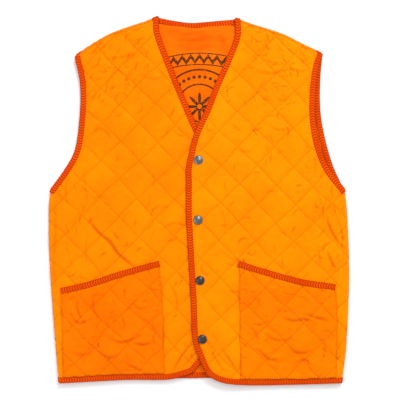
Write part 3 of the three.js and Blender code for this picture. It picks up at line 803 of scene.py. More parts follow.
# %% Build the quilted panels
NODES_OF_LATTICE = {
    "back": (0, 20), "front_right": (-146.3, 105.3), "front_left": (141, 95.3),
    "pocket_right": (-128.6, -197), "pocket_left": (157, -195),
}
BACK_DIVISIONS = 16
DIVISIONS = 26
SEAM_OUT = 0.55
BOUND_OUT = 0.9
UNDER_POCKET = 1.5
POCKET_HIGHEST = 3.4
BOUND_INNER = 0.5
SEAM_WIDTH = 0.03
skins = {}


def outer_skin(name, points, near_line, to_bound, rise, dents):
    """How far the outer skin is from the middle of the wall, at flat points."""
    extra = dents + 0.35 * rolling(points, len(name), 60)
    out = SEAM_OUT + rise + extra * (0.35 + 0.65 * ease(near_line, 0, 0.25))
    if name.startswith("front"):
        pocket = thinned(cuts[name.replace("front", "pocket")].outline)
        under = inside(pocket, points) & (distance_to(pocket, points) > 3)
        out = np.where(under, np.minimum(out, UNDER_POCKET), out)
    if name.startswith("pocket"):
        to_rim = distance_to(thinned(cuts[name].outline), points)
        out = np.minimum(out - 0.3, POCKET_HIGHEST) - 0.8 * (1 - ease(to_rim, 0, 7))
    if name == "back":
        out = np.minimum(out + 0.4, HALF - 0.03)
    return BOUND_OUT + (out - BOUND_OUT) * ease(to_bound, 9, 20)


def seam_depth(cut, points, near_line):
    """1 deep in a stitch line or a seam and 0 away from them, for the painted shade in the material."""
    seam = np.exp(-(near_line / SEAM_WIDTH) ** 2) * (0.55 + 0.6 * rolling(points, 77, 55))
    if cut.seams:
        to_seam = distance_to_any(cut.seams, points)
        seam = np.maximum(seam, 0.8 * (1 - ease(to_seam, 0.6, 2.6)))
    return seam


def sew_panel(name, seed):
    cut, pocket = cuts[name], "pocket" in name
    net = Net(cut, NODES_OF_LATTICE[name], BACK_DIVISIONS if name == "back" else DIVISIONS,
              margin=0.6 if pocket else 3)
    rise = pillows(net, seed)
    near_line = np.minimum(*net.from_line())
    dents = pressed(net.points, CREASES[name] + SCATTER[name])
    out = outer_skin(name, net.points, near_line, net.to_bound * (1.4 if pocket else 1), rise, dents)
    inner = -BOUND_INNER - (0.5 if pocket else HALF - BOUND_INNER) * ease(net.to_bound, 11.5, 16)
    skins[name] = (net, out)
    points = np.vstack([cut.place(*net.points.T, out), cut.place(*net.points.T, inner)])
    faces = net.faces[:, ::-1] if cut.faces_down else net.faces
    seam = seam_depth(cut, net.points, near_line)
    # The crease depth only darkens the cloth's colour in the material: painted shade in the creases.
    creased = np.clip(-dents / 1.3, 0, 1) ** 1.3
    panel = make_piece(
        name + "_quilted", points, closed_wall(faces, len(net.points)),
        {"seam": np.r_[seam, seam * 0], "crease": np.r_[creased, creased * 0]})
    print(panel.name, len(panel.data.polygons), "faces")
    return panel


panels = {name: sew_panel(name, seed) for seed, name in enumerate(cuts, 1)}

# %% [markdown]
# ## Bindings
# A binding is a braid folded over the raw edge. Its section is a flattened U with round lips. Three rings
# of that section to each woven repeat are set square to the edge, and the lip steps in and out with the
# weave, which gives the braid its toothed border. A curve with a profile could sweep it too, but it tilts
# where the cloth folds, while these rings are laid by the same function as the panels. The UV map runs
# along and across the braid in metres, so the herringbone follows every curve.

# %% Sweep the folded braid along a path
BRAID_REPEAT = 4.8
RIB_SLOPE = 0.5
RINGS_PER_REPEAT = 3
TAPE_WIDTH = 11
TOOTH = 0.4
RIDGE = 0.12
OUTER_POINTS = 15


def braid_section(low, high):
    """Points [in from the edge, up from the wall's middle], from the top lip round the edge and back."""
    middle, radius = (low + high) / 2, (high - low) / 2
    top = [(TAPE_WIDTH - 0.1, high - 0.75), (TAPE_WIDTH - 0.5, high - 0.12), (TAPE_WIDTH - 2, high - 0.18),
           (8, high + 0.12), (5.5, high - 0.02), (3, high + 0.1)]
    turn = [(radius - radius * math.sin(a) * 0.95, middle + radius * math.cos(a))
            for a in np.radians([22, 52, 90, 128, 158])]
    bottom = [(3, low), (8, low), (TAPE_WIDTH - 0.5, low + 0.05), (TAPE_WIDTH - 0.1, low + 0.5)]
    inside_turn = [(TAPE_WIDTH - 0.5, low + 0.9), (1.9, low + 0.95), (1.1, middle), (1.9, high - 0.95),
                   (TAPE_WIDTH - 0.5, high - 0.95)]
    return np.array(top + turn + bottom + inside_turn)


def evenly(line, step):
    """Points at even steps along a line, and how far along it each one is."""
    run = np.r_[0, np.cumsum(np.linalg.norm(np.diff(line, axis=0), axis=1))]
    count = max(int(round(run[-1] / step)), 2)
    at = np.linspace(0, run[-1], count + 1)
    return np.column_stack([np.interp(at, run, line[:, k]) for k in (0, 1)]), at


def softened(values, reach):
    """A running mean that keeps the ends."""
    padded = np.pad(values, ((reach, reach), (0, 0)), mode="edge")
    window = np.ones(2 * reach + 1) / (2 * reach + 1)
    return np.column_stack([np.convolve(padded[:, k], window, mode="valid") for k in (0, 1)])


def inward_along(path):
    """The direction into the cloth at each point, which is on the left of the path."""
    way = softened(np.gradient(path, axis=0), 4)
    way /= np.linalg.norm(way, axis=1)[:, None]
    return np.column_stack([-way[:, 1], way[:, 0]])


def braid_levels(node):
    """The bottom and the top of a binding, from the middle of the wall it is folded round."""
    return (-1.2, 2.6) if "pocket" in node else (-HALF, 2.2)


def ringed_faces(rings, size):
    """Four-cornered faces between closed rings of corners, each with the same number of corners."""
    ring, spot = np.meshgrid(np.arange(rings - 1), np.arange(size), indexing="ij")
    a = (ring * size + spot).ravel()
    b = (ring * size + (spot + 1) % size).ravel()
    return np.column_stack([a, b, b + size, a + size])


def sew_braid(name, cut, key, low, high):
    path, run = evenly(cut.paths[key], BRAID_REPEAT / RINGS_PER_REPEAT)
    inward = inward_along(path)
    section = braid_section(low, high)
    size = len(section)
    lip = np.clip((section[:, 0] - 6) / 5, 0, 1)
    tooth = TOOTH * np.sin(math.tau * run / BRAID_REPEAT)
    into = section[None, :, 0] + tooth[:, None] * lip[None, :]
    slant = run[:, None] + RIB_SLOPE * np.abs(section[None, :, 0] - TAPE_WIDTH / 2)
    ridge = RIDGE * np.cos(math.tau * slant / BRAID_REPEAT)
    outward = np.where(section[:, 1] > (low + high) / 2, 1, -1) * (np.arange(size) < OUTER_POINTS)
    height = section[None, :, 1] + ridge * outward[None, :] * (section[None, :, 0] > 1)
    height = np.maximum(height, low + 0.02)
    flat = path[:, None, :] + inward[:, None, :] * into[..., None]
    out = -height if cut.faces_down else height
    points = cut.place(flat[..., 0], flat[..., 1], out).reshape(-1, 3)
    faces = ringed_faces(len(path), size)
    if cut.faces_down:
        faces = faces[:, ::-1]
    ends = [list(range(size)), list(range(len(points) - 1, len(points) - 1 - size, -1))]
    if not cut.faces_down:
        ends = [end[::-1] for end in ends]
    uv = np.column_stack([np.repeat(run, size), np.tile(section[:, 0], len(path))]) * MM
    piece = make_piece(name, points, faces[:, ::-1].tolist() + ends, uv=uv)
    print(name, "length", round(run[-1]), "mm,", len(piece.data.polygons), "faces")
    return piece, path, inward


BRAIDS = [
    ("edge_binding_right", "front_right", "edge"), ("edge_binding_left", "front_left", "edge"),
    ("armhole_binding_right_front", "front_right", "armhole"),
    ("armhole_binding_left_front", "front_left", "armhole"),
    ("armhole_binding_right_back", "back", "right_armhole"),
    ("armhole_binding_left_back", "back", "left_armhole"),
    ("neck_binding_back", "back", "neck"), ("hem_binding_back", "back", "hem"),
    ("pocket_binding_right", "pocket_right", "top"), ("pocket_binding_left", "pocket_left", "top"),
]
braids = {}
for node, panel, key in BRAIDS:
    braids[node] = sew_braid(node + "_braid", cuts[panel], key, *braid_levels(node))

# %% [markdown]
# ## Lining
# The lining is one plain sheet inside the back. It shows in the V of the neck and in a small corner at the
# hem. It could be draped by a simulation, but it is held down nearly everywhere, so it is a thin shell with
# a few drawn folds where nothing presses on it, and it lies flat under the fronts.

# %% Build the lining
LINING_MIDDLE = 4.0
LINING_TUCKED = 2.48
LINING_WALL = 0.6
LINING_STEP = 5.5
LINING_CREASES = [
    ([(-60, 314), (-30, 307), (0, 305), (34, 310)], 4.5, 1.5),
    ([(-50, 298), (-20, 294), (20, 298), (52, 294)], 4.5, 1.5),
    ([(-48, 284), (-10, 280), (36, 285)], 4.5, 1.2),
    ([(30, 310), (44, 296), (48, 276)], 4, 1.2),
    ([(-40, 236), (-10, 230), (20, 234)], 6, 0.7),
    ([(-10, 160), (0, 150), (10, 146)], 5, 0.8),
    ([(-30, 196), (-8, 188), (16, 192)], 6, 0.6),
]


def sew_lining():
    back = cuts["back"]
    low, high = back.outline.min(0), back.outline.max(0)
    rows = [np.arange(low[k], high[k], LINING_STEP) for k in (0, 1)]
    x, y = np.meshgrid(*rows, indexing="ij")
    points = np.column_stack([x.ravel(), y.ravel()])
    to_bound = distance_to_any(back.bound, points)
    turn = np.where(points[:, 0] < 0, across(TURNS[-1], points[:, 1]), across(TURNS[1], points[:, 1]))
    keep = inside(thinned(back.outline, 3), points) & (to_bound > 4)
    keep &= (np.abs(points[:, 0]) < turn - 3) & (points[:, 1] < above(BACK_TOP, points[:, 0]) - 3)
    used, faces = cells_of(keep.reshape(x.shape))
    points, to_bound = points[used], to_bound[used]
    opening = thinned(chain(draw(UNDER_NECKLINE), draw(BACK_NECK), draw(TOP_NECKLINE)[::-1]))
    free = inside(opening, points) * ease(distance_to(opening, points), 4, 16)
    creased = pressed(points, LINING_CREASES)
    middle = LINING_TUCKED + (LINING_MIDDLE - LINING_TUCKED) * ease(to_bound, 10.5, 15)
    middle += free * np.maximum(creased + 0.9 * (1 + rolling(points, 5, 46)), -0.3)
    top = np.column_stack([points, middle + LINING_WALL / 2])
    bottom = np.column_stack([points, middle - LINING_WALL / 2])
    # The crease depth only darkens the lining's colour: painted shade in its creases.
    depth = free * np.clip(-creased / 1.4, 0, 1)
    piece = make_piece("back_lining_sheet", np.vstack([top, bottom]), closed_wall(faces, len(points)),
                       {"crease": np.r_[depth, depth * 0]})
    size, area = np.ptp(points, axis=0) * MM, len(faces) * (LINING_STEP * MM) ** 2
    print(piece.name, len(piece.data.polygons), "faces,", size.round(3), "m,", round(area, 4), "m2")
    return piece, size, area


lining, lining_size, lining_area = sew_lining()

# %% [markdown]
# ## Snaps
# A snap's cap is stamped from thin brass: a rolled rim, a shallow ring inside it and a low dome. Its
# profile is turned round the axis, as a lathe would. A Screw modifier turns a profile too, but rings of
# points put each cap straight in its place, with the object at the origin.

# %% Turn the caps
CAP_BASE = OVERLAP_TOP + HALF + 0.9
CAP_RADIUS = 8.5
CAP_RISE = 2.3
CAP_SIDES = 56
RIM_RADIUS = 0.62


def cap_profile():
    """Points [radius, height] from the top of the dome, over the rolled rim and in under it to the post."""
    dome = [(r * CAP_RADIUS, CAP_RISE * math.sqrt(1 - 0.78 * (r / 0.84) ** 2))
            for r in np.linspace(0.04, 0.8, 12)]
    rim = [(CAP_RADIUS - RIM_RADIUS + RIM_RADIUS * math.sin(a), RIM_RADIUS + RIM_RADIUS * math.cos(a))
           for a in np.radians(range(-40, 181, 22))]
    under = [(7.4, 0.15), (6.8, 0.45), (3.2, 0.45), (3.2, -3.6), (6, -3.6), (6, -4.6), (0.1, -4.6)]
    return np.array(dome + rim + under)


def turn_cap(number, spot):
    profile = cap_profile()
    angles = np.linspace(0, math.tau, CAP_SIDES, endpoint=False)
    rings = np.stack([spot[0] + profile[:, :1] * np.cos(angles), spot[1] + profile[:, :1] * np.sin(angles),
                      CAP_BASE + np.repeat(profile[:, 1:], CAP_SIDES, 1)], -1)
    faces = ringed_faces(len(profile), CAP_SIDES)[:, [0, 3, 2, 1]].tolist()
    last = (len(profile) - 1) * CAP_SIDES
    faces += [list(range(CAP_SIDES)), list(range(last + CAP_SIDES - 1, last - 1, -1))]
    return make_piece(f"snap_cap_{number}_dome", rings.reshape(-1, 3), faces)


caps = [turn_cap(number, spot) for number, spot in enumerate(SNAPS, 1)]
print("snap caps:", len(caps), "with", len(caps[0].data.polygons), "faces each")

# %% [markdown]
# ## Finishes
# Shader maths reads better as an expression. `Value` wraps a socket, so `1 - mask * 2` adds the Math nodes
# by itself, and `Finish` makes a material and any node in it.

# %% Write shader maths as expressions
class Value:
    """A socket of a material, on which Python's own arithmetic works."""

    def __init__(self, finish, socket):
        self.finish, self.socket = finish, socket

    def math(self, operation, *others, swap=False):
        values = [self, *others] if not swap else [others[0], self]
        node = self.finish.node("ShaderNodeMath", {"operation": operation}, dict(enumerate(values)))
        return Value(self.finish, node.outputs[0])

    def __add__(self, other):
        return self.math("ADD", other)

    def __sub__(self, other):
        return self.math("SUBTRACT", other)

    def __rsub__(self, other):
        return self.math("SUBTRACT", other, swap=True)

    def __mul__(self, other):
        return self.math("MULTIPLY", other)

    __radd__ = __add__
    __rmul__ = __mul__

    def abs(self):
        return self.math("ABSOLUTE")

    def sine(self):
        return self.math("SINE")

    def fraction(self):
        return self.math("FRACT")

    def power(self, other):
        return self.math("POWER", other)

    def least(self, other):
        return self.math("MINIMUM", other)

    def most(self, other):
        return self.math("MAXIMUM", other)

    def between(self, low, high):
        """0 at low and below, 1 at high and above."""
        node = self.finish.node(
            "ShaderNodeMapRange", {"interpolation_type": "SMOOTHSTEP"},
            {"Value": self, "From Min": low, "From Max": high})
        return Value(self.finish, node.outputs["Result"])


class Finish:
    """A material in the making. The constants go straight on to its shader."""

    def __init__(self, name, **constants):
        self.material = bpy.data.materials.new(name)
        self.material.use_nodes = True
        self.tree = self.material.node_tree
        self.shader = self.tree.nodes["Principled BSDF"]
        for key, value in constants.items():
            self.shader.inputs[key.replace("_", " ")].default_value = value

    def node(self, kind, settings=None, sockets=None):
        node = self.tree.nodes.new(kind)
        for key, value in (settings or {}).items():
            setattr(node, key, value)
        for key, value in (sockets or {}).items():
            self.join(value, node.inputs[key])
        return node

    def join(self, value, socket):
        if isinstance(value, Value):
            value = value.socket
        if isinstance(value, bpy.types.NodeSocket):
            self.tree.links.new(value, socket)
        else:
            socket.default_value = value

    def place(self):
        """X, Y and Z of the surface in metres."""
        coordinates = self.node("ShaderNodeTexCoord").outputs["Object"]
        split = self.node("ShaderNodeSeparateXYZ", sockets={0: coordinates})
        return [Value(self, split.outputs[k]) for k in range(3)]

    def noise(self, scale, detail=3.0, stretch=None):
        vector = self.node("ShaderNodeTexCoord").outputs["Object"]
        if stretch:
            multiply = {"operation": "MULTIPLY"}
            vector = self.node("ShaderNodeVectorMath", multiply, {0: vector, 1: stretch}).outputs[0]
        sockets = {"Vector": vector, "Scale": scale, "Detail": detail}
        return Value(self, self.node("ShaderNodeTexNoise", sockets=sockets).outputs[0])

    def attribute(self, name):
        return Value(self, self.node("ShaderNodeAttribute", {"attribute_name": name}).outputs["Fac"])

    def mix(self, factor, first, second):
        node = self.node("ShaderNodeMix", {"data_type": "RGBA"}, {0: factor, 6: first, 7: second})
        return node.outputs[2]

    def finish(self, tone, roughness=None, bump=None, height=None):
        """Join what was worked out to the shader. The bump's height is in metres."""
        self.join(tone, self.shader.inputs["Base Color"])
        if roughness is not None:
            self.join(roughness, self.shader.inputs["Roughness"])
        if bump is not None:
            node = self.node("ShaderNodeBump", sockets={"Height": bump, "Distance": height, "Strength": 1.0})
            self.join(node.outputs[0], self.shader.inputs["Normal"])
        return self.material


def colour(red, green, blue):
    """An sRGB colour, 0 to 255, as the linear colour that a shader takes."""
    parts = [v / 255 for v in (red, green, blue)]
    return (*[v / 12.92 if v <= 0.04045 else ((v + 0.055) / 1.055) ** 2.4 for v in parts], 1)


print("mid grey as a shader takes it:", round(colour(128, 128, 128)[0], 3))

# %% [markdown]
# ## Taffeta
# The shell is a thin, tightly woven nylon. Up close it has a fine plain weave, and from a little way off
# it shows soft crinkles and faint cloudy fading, and along stitches, seams and creases a deeper colour,
# which is painted shade. An image texture would repeat and blur, so noise and sine waves make all of it.

# %% Make the taffeta
WEAVE = 1 / 0.0007
WARM = (1.0, 0.42, 0.03, 1)


def taffeta(name, bright, deep, painted_seam_and_crease_shade, crinkle):
    finish = Finish(name, Sheen_Weight=0.06, Sheen_Tint=WARM, Specular_IOR_Level=0.3, Specular_Tint=WARM)
    x, y, _ = finish.place()
    cloud = finish.noise(14, 4).between(0.35, 0.68)
    fine_cloud = finish.noise(70, 3).between(0.35, 0.7)
    base = finish.mix(cloud * 0.6 + fine_cloud * 0.3, bright, deep)
    # Painted shade: the cloth darkens to the third colour in stitch lines, seams and creases.
    seam = (finish.attribute("seam") * 0.36 + finish.attribute("crease") * 0.64).least(1.0)
    base = finish.mix(seam, base, painted_seam_and_crease_shade)
    weave = (x * (math.tau * WEAVE)).sine() * (y * (math.tau * WEAVE)).sine()
    crumple = finish.noise(95, 4, (1, 1.25, 1)) * 0.7 + finish.noise(260, 2) * 0.22
    roughness = finish.noise(40, 2) * 0.16 + 0.42
    return finish.finish(base, roughness, crumple * crinkle + weave * 0.012, 0.0011)


# The third colour of each row is the painted shade of stitch lines, seams and creases.
TAFFETA_TONES_AND_PAINTED_SHADE = {
    "front_left": ("taffeta_shell", (252, 141, 0), (247, 128, 0), (204, 76, 0), 1.0),
    # Painted shade: the right front is a darker copy of the left one, as if less light fell on the wearer's
    # right.
    "front_right": ("taffeta_shell_under", (251, 134, 0), (245, 121, 0), (204, 74, 0), 1.0),
    "back": ("taffeta_shell_back", (251, 137, 0), (246, 125, 0), (204, 75, 0), 1.0),
    # Painted shade: the right pocket is a darker copy of the left one, for the same fall of light.
    "pocket_right": ("taffeta_pocket_right", (250, 117, 0), (244, 104, 0), (202, 58, 0), 1.2),
    "pocket_left": ("taffeta_pocket_left", (251, 125, 0), (246, 112, 0), (204, 64, 0), 1.2),
}
cloths = {
    panel: taffeta(name, colour(*bright), colour(*deep), colour(*seam), crinkle)
    for panel, (name, bright, deep, seam, crinkle) in TAFFETA_TONES_AND_PAINTED_SHADE.items()
}
print("cloths:", [cloth.name for cloth in cloths.values()])

# %% [markdown]
# ## Braid
# The binding is a herringbone braid: two columns of slanting ribs that meet in the middle. The ribs come
# from the UV map, along the braid and away from its centre line, and three finer ridges run along each.

# %% Make the braid and the thread
def braid_finish():
    finish = Finish("herringbone_braid", Sheen_Weight=0.1, Sheen_Tint=WARM, Specular_IOR_Level=0.15,
                    Specular_Tint=WARM)
    coordinates = finish.node("ShaderNodeUVMap").outputs[0]
    split = finish.node("ShaderNodeSeparateXYZ", sockets={0: coordinates})
    run, width = Value(finish, split.outputs[0]), Value(finish, split.outputs[1])
    slant = run + (width - TAPE_WIDTH * MM / 2).abs() * RIB_SLOPE
    pace = math.tau / (BRAID_REPEAT * MM)
    rib = (slant * pace).sine() * 0.5 + 0.5
    fine = (slant * (3 * pace)).sine() * 0.5 + 0.5
    patchy = finish.noise(30, 3).between(0.3, 0.7)
    # Darker between the ribs: partly the braid's own weave, partly painted shade in the grooves between ribs.
    base = finish.mix(rib.between(0.1, 0.8), colour(182, 41, 3), colour(239, 87, 8))
    base = finish.mix(patchy * 0.5, base, colour(204, 50, 4))
    # Painted shade: a dark line along the braid's turned outer edge, where it drops to the cloth beside it.
    turned = 1 - width.between(0.0004, 0.002)
    base = finish.mix(turned * 0.6, base, colour(140, 22, 2))
    relief = rib * 0.8 + fine * 0.25 + finish.noise(900, 2) * 0.2
    return finish.finish(base, rib * 0.1 + 0.62, relief, 0.0004)


def thread_finish(name, tone):
    finish = Finish(name, Specular_IOR_Level=0.3, Specular_Tint=WARM)
    base = finish.mix(finish.noise(500, 2) * 0.5, tone, colour(232, 104, 4))
    return finish.finish(base, finish.noise(300, 2) * 0.2 + 0.5)


braid_material = braid_finish()
quilting_thread = thread_finish("quilting_thread", colour(204, 84, 0))
binding_thread = thread_finish("binding_thread", colour(206, 60, 6))
print("braid and threads:", [m.name for m in (braid_material, quilting_thread, binding_thread)])

# %% [markdown]
# ## Lining and its print
# The lining is a plain redder taffeta. Inside the neck it carries a worn black print, here a made-up sign:
# a zigzag band over a ring of dots between two circles, with a star in the middle and a small wave under
# it. It is drawn with distances: a line is where the distance to its middle is less than half its width,
# and a patch of noise wears the ink away.

# %% Make the printed lining
PRINT_CENTRE = (1, 172)
INK_EDGE = 0.0005
DOTS = 34
DOT_RING = 0.055
BAND_HALF = 0.064


def stroke(distance, half_width):
    """Ink where the distance to a line's middle, in metres, is less than half its width."""
    return 1 - distance.abs().between(half_width - INK_EDGE, half_width + INK_EDGE)


def printed_sign(finish):
    """1 where the sign has ink, in metres round its centre."""
    x, y, _ = finish.place()
    u = x - (PRINT_CENTRE[0] + SHIFT[0]) * MM
    v = y - (PRINT_CENTRE[1] + SHIFT[1]) * MM
    radius = (u * u + v * v).power(0.5)
    angle = v.math("ARCTAN2", u)
    rings = stroke(radius - 0.068, 0.0017).most(stroke(radius - 0.041, 0.0016))
    dot_step = (angle * (DOTS / math.tau)).fraction() - 0.5
    dot_across = dot_step * (math.tau * DOT_RING / DOTS)
    dot_out = radius - DOT_RING
    dots = 1 - (dot_across * dot_across + dot_out * dot_out).power(0.5).between(0.0028, 0.0036)
    ray = (angle * 4).math("COSINE").abs().power(3)
    star = 1 - (radius - (ray * 0.018 + 0.008)).between(-INK_EDGE, INK_EDGE)
    hollow = radius.between(0.0040, 0.0048)
    wave = stroke(v + 0.029 + (u * 240).sine() * 0.0022, 0.0012) * (1 - u.abs().between(0.026, 0.027))
    band_height = v - 0.088 + u * u * 2.2
    zigzag = ((u * 62).fraction() - 0.5).abs() * 0.022 - 0.0055
    band_length = 1 - u.abs().between(BAND_HALF, BAND_HALF + 0.001)
    band = stroke(band_height - zigzag, 0.0042) * band_length
    rails = stroke(band_height.abs() - 0.0105, 0.0011) * band_length
    return rings.most(dots).most(star * hollow).most(wave).most(band).most(rails)


def lining_finish():
    finish = Finish("taffeta_lining", Sheen_Weight=0.05, Sheen_Tint=WARM, Specular_IOR_Level=0.3,
                    Specular_Tint=WARM)
    ink = printed_sign(finish)
    worn = 1 - finish.noise(420, 3).between(0.56, 0.66) * 0.7
    cloud = finish.noise(16, 3).between(0.35, 0.7)
    base = finish.mix(cloud, colour(246, 108, 4), colour(236, 93, 3))
    # Painted shade: the lining darkens in its creases.
    base = finish.mix(finish.attribute("crease") * 0.6, base, colour(206, 62, 2))
    base = finish.mix(ink * worn * 0.93, base, colour(34, 24, 22))
    crumple = finish.noise(60, 4, (0.7, 1.5, 1)) * 0.8 + finish.noise(200, 2) * 0.2
    return finish.finish(base, finish.noise(40, 2) * 0.15 + 0.45, crumple, 0.0014)


lining_material = lining_finish()
print(lining_material.name, len(lining_material.node_tree.nodes), "nodes")

# %% [markdown]
# ## Metal
# The caps are brass with a dark plating. Handling polishes the dome, and the plating thins to brown on the
# rim, so the colour follows the height over the cap's base. The upper two caps get a lighter copy of the
# finish, a painted highlight, so there are two finishes.

# %% Make the plated metal
def plated(name, dome, rim, low, high):
    finish = Finish(name, Metallic=1.0)
    _, _, z = finish.place()
    worn = finish.noise(700, 3).between(0.42, 0.66)
    base = finish.mix(z.between(low * MM, high * MM), rim, dome)
    base = finish.mix(worn * 0.35, base, colour(120, 112, 104))
    return finish.finish(base, finish.noise(500, 3) * 0.22 + 0.16, finish.noise(1500, 2), 0.00004)


cap_finishes = [
    plated(name, dome, rim, CAP_BASE + 0.6, CAP_BASE + 1.4)
    for name, dome, rim in (
        # The first finish is the lighter copy for the upper two caps: a painted highlight.
        ("polished_cap", colour(112, 115, 116), colour(50, 40, 34)),
        ("dark_cap", colour(70, 68, 66), colour(62, 42, 30)))
]
stud_metal = plated("plated_stud", colour(110, 106, 100), colour(84, 66, 52), 5, 12)
print("metals:", [m.name for m in (*cap_finishes, stud_metal)])

# %% [markdown]
# ## Stitches
# A stitch is the same small bead of thread thousands of times, which is work for Geometry Nodes: a net of
# edges becomes curves, the curves get a point for each stitch, and a low-faced bead is set on each point,
# turned along the curve. The instances are realized and the result is kept as a plain mesh.

# %% The stitching tree
def stitching_tree():
    tree = bpy.data.node_groups.new("stitching", "GeometryNodeTree")
    face = tree.interface
    face.new_socket("Lines", in_out="INPUT", socket_type="NodeSocketGeometry")
    for name in ("Pitch", "Length", "Thickness"):
        face.new_socket(name, in_out="INPUT", socket_type="NodeSocketFloat")
    face.new_socket("Thread", in_out="INPUT", socket_type="NodeSocketMaterial")
    face.new_socket("Stitches", in_out="OUTPUT", socket_type="NodeSocketGeometry")

    def add(kind, settings=None, **links):
        node = tree.nodes.new(kind)
        for key, value in (settings or {}).items():
            setattr(node, key, value)
        for key, value in links.items():
            socket = node.inputs[key.replace("_", " ")]
            if isinstance(value, bpy.types.NodeSocket):
                tree.links.new(value, socket)
            else:
                socket.default_value = value
        return node

    given = add("NodeGroupInput").outputs
    curves = add("GeometryNodeMeshToCurve", Mesh=given["Lines"])
    spaced = add("GeometryNodeResampleCurve", {"mode": "LENGTH"}, Curve=curves.outputs[0],
                 Length=given["Pitch"])
    bead = add("GeometryNodeMeshUVSphere", Segments=5, Rings=3, Radius=0.5)
    size = add("ShaderNodeCombineXYZ", X=given["Length"], Y=given["Thickness"], Z=given["Thickness"])
    shaped = add("GeometryNodeTransform", Geometry=bead.outputs[0], Scale=size.outputs[0])
    heading = add("FunctionNodeAlignRotationToVector", {"axis": "X"},
                  Vector=add("GeometryNodeInputTangent").outputs[0])
    copies = add("GeometryNodeInstanceOnPoints", Points=spaced.outputs[0], Instance=shaped.outputs[0],
                 Rotation=heading.outputs[0])
    solid = add("GeometryNodeRealizeInstances", Geometry=copies.outputs[0])
    done = add("GeometryNodeSetMaterial", Geometry=solid.outputs[0], Material=given["Thread"])
    output = add("NodeGroupOutput")
    tree.links.new(done.outputs[0], output.inputs[0])
    return tree


STITCHING = stitching_tree()
print(STITCHING.name, len(STITCHING.nodes), "nodes")


# %% Stitch along a net of edges
FACES_PER_STITCH = 15


def stitch(name, points, edges, pitch, length, thickness, thread):
    """Stitches along the edges of a net of points, as one plain mesh."""
    mesh = bpy.data.meshes.new(name)
    mesh.from_pydata(in_frame(points), edges.tolist(), [])
    piece = add_object(name, mesh)
    modifier = piece.modifiers.new("Stitches", "NODES")
    modifier.node_group = STITCHING
    values = {"Pitch": pitch * MM, "Length": length * MM, "Thickness": thickness * MM, "Thread": thread}
    for item in STITCHING.interface.items_tree:
        if item.in_out == "INPUT" and item.name in values:
            modifier[item.identifier] = values[item.name]
    bpy.context.view_layer.update()
    evaluated = piece.evaluated_get(bpy.context.evaluated_depsgraph_get())
    plain = bpy.data.meshes.new_from_object(evaluated)
    piece.modifiers.remove(modifier)
    piece.data = plain
    shade_smooth(plain)
    print(name, len(plain.polygons) // FACES_PER_STITCH, "stitches")
    return piece


def in_a_row(count):
    """Edges from each of a row of points to the next."""
    return np.column_stack([np.arange(count - 1), np.arange(1, count)])


# %% Stitch the quilting lines
CLEAR_OF_SEAM = 2.5
QUILTING_STITCH = (3.3, 2.7, 0.7)
EDGE_STITCH = (3.0, 2.3, 0.5)


def quilting_edges(net):
    """The edges of a net that lie on its stitch lines."""
    pairs = np.unique(np.sort(sides_of(net.faces), axis=1), axis=0)
    on_line = np.zeros(len(pairs), bool)
    for number in (net.pick(net.i), net.pick(net.j)):
        a, b = number[pairs[:, 0]], number[pairs[:, 1]]
        on_line |= (a == b) & (a % net.divisions == 0)
    return pairs[on_line]


stitches = {}
for name, (net, out) in skins.items():
    edges = quilting_edges(net)
    clear = net.to_bound > TAPE_WIDTH - 1
    for line in cuts[name].seams:
        clear &= distance_to(line, net.points) > CLEAR_OF_SEAM
    edges = edges[clear[edges].all(axis=1)]
    raise_by = -0.12 if name == "back" else 0.1
    points = cuts[name].place(*net.points.T, out + raise_by)
    stitches[name] = stitch(name + "_stitches", points, edges, *QUILTING_STITCH, quilting_thread)

# %% Stitch the bindings and the sides of the pockets
BRAID_STITCH_INSET = TAPE_WIDTH - 1.7
SIDE_STITCH_INSET = 2.6
for node, panel, _ in BRAIDS:
    cut = cuts[panel]
    _, path, inward = braids[node]
    line = path + inward * BRAID_STITCH_INSET
    height = braid_levels(node)[1] - 0.08
    points = cut.place(*line.T, -height if cut.faces_down else height)
    stitches[node] = stitch(node + "_stitches", points, in_a_row(len(line)), *EDGE_STITCH, binding_thread)

for name in ("pocket_right", "pocket_left"):
    cut = cuts[name]
    net, out = skins[name]
    for number, line in enumerate(cut.open_edges[:2], 1):
        line = evenly(line, 3)[0]
        line = line[line[:, 1] < line[:, 1].max() - 3]
        line[:, 0] += np.sign(cut.outline[:, 0].mean() - line[:, 0]) * SIDE_STITCH_INSET
        nearest = np.array([np.argmin(np.linalg.norm(net.points - spot, axis=1)) for spot in line])
        points = cut.place(*line.T, out[nearest] + 0.15)
        key = f"{name}_side_{number}"
        stitches[key] = stitch(key + "_stitches", points, in_a_row(len(line)), *EDGE_STITCH, quilting_thread)

# %% [markdown]
# ## Put the pieces on the frame
# Every piece takes its finish and rides on the one body, and the CAD solids it stands for are hidden.

# %% Materials and bodies
def dress(piece, material, slot, *nodes):
    """Give a piece its finish and its body, and hide the CAD solids it stands for."""
    if piece.data.materials:
        piece.data.materials[0] = material
    else:
        piece.data.materials.append(material)
    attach(piece, "root")
    if nodes:
        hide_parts(*nodes)


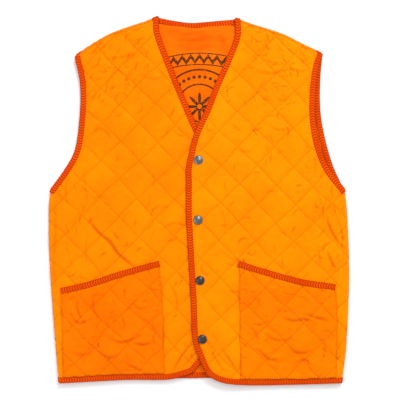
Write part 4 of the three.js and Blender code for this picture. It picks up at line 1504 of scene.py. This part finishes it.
for name, piece in panels.items():
    dress(piece, cloths[name], "pocket" if "pocket" in name else "shell", name)
for node, (piece, _, _) in braids.items():
    dress(piece, braid_material, "binding", node)
dress(lining, lining_material, "lining", "back_lining")
for number, piece in enumerate(caps, 1):
    dress(piece, cap_finishes[number > 2], "snap", f"snap_cap_{number}")
for key, piece in stitches.items():
    thread, slot = (binding_thread, "binding") if "binding" in key else (
        quilting_thread, "pocket" if "pocket" in key else "shell")
    dress(piece, thread, slot)
for number in range(1, len(SNAPS) + 1):
    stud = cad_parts[f"snap_stud_{number}"]
    stud.data.materials.clear()
    stud.data.materials.append(stud_metal)
print("pieces dressed:", len(panels) + len(braids) + 1 + len(caps) + len(stitches))

# %% Work out the flat area of each sheet
for name, piece in panels.items():
    outline = cuts[name].outline
    area = area_of(outline) * MM ** 2

# %% [markdown]
# ## Floor, light and camera
# The gilet lies on a pale floor under even, soft light, most of it from a bright sky all round. One large
# lamp beyond the neck, a little to one side, gives the quilting its low relief. A weaker one fills in from
# the other side, and a small one puts a spark on the snaps. The camera looks straight down.

# %% Stage
def lay_floor():
    bpy.ops.mesh.primitive_plane_add(size=12, location=(0, 0, -0.0003))
    floor = bpy.context.active_object
    floor.name = "floor"
    finish = Finish("pale_floor", Roughness=0.9, Specular_IOR_Level=0.1)
    tone = finish.mix(finish.noise(3, 2), (0.93, 0.93, 0.93, 1), (0.95, 0.95, 0.95, 1))
    floor.data.materials.append(finish.finish(tone))


def soft_lamp(name, spot, size, power):
    """A round lamp at a spot in metres, turned to the origin."""
    data = bpy.data.lights.new(name, "AREA")
    data.shape, data.size, data.energy = "DISK", size, power
    lamp = add_object(name, data)
    lamp.location = spot
    lamp.rotation_euler = (-Vector(spot)).to_track_quat("-Z", "Y").to_euler()


lay_floor()
soft_lamp("key", (0.85, 2.4, 2.35), 1.3, 60)
soft_lamp("fill", (-1.6, -0.6, 2.0), 2.0, 12)
soft_lamp("spark", (0.25, 0.45, 1.7), 0.22, 4)
world = bpy.data.worlds.new("studio")
world.use_nodes = True
sky = world.node_tree.nodes["Background"].inputs
sky["Color"].default_value = (1, 1, 1, 1)
sky["Strength"].default_value = 0.69
scene = bpy.context.scene
scene.world = world
scene.view_settings.view_transform = "Standard"

# %% Camera
VIEW_WIDTH = 740
VIEW_CENTRE = (1.85, -0.4)
LENS = 85
SENSOR = 36
camera_data = bpy.data.cameras.new("camera")
camera_data.lens, camera_data.sensor_width = LENS, SENSOR
camera = add_object("camera", camera_data)
camera.location = (*((VIEW_CENTRE + SHIFT) * MM), VIEW_WIDTH * MM * LENS / SENSOR)
scene.camera = camera
print("camera in metres:", [round(value, 3) for value in camera.location])
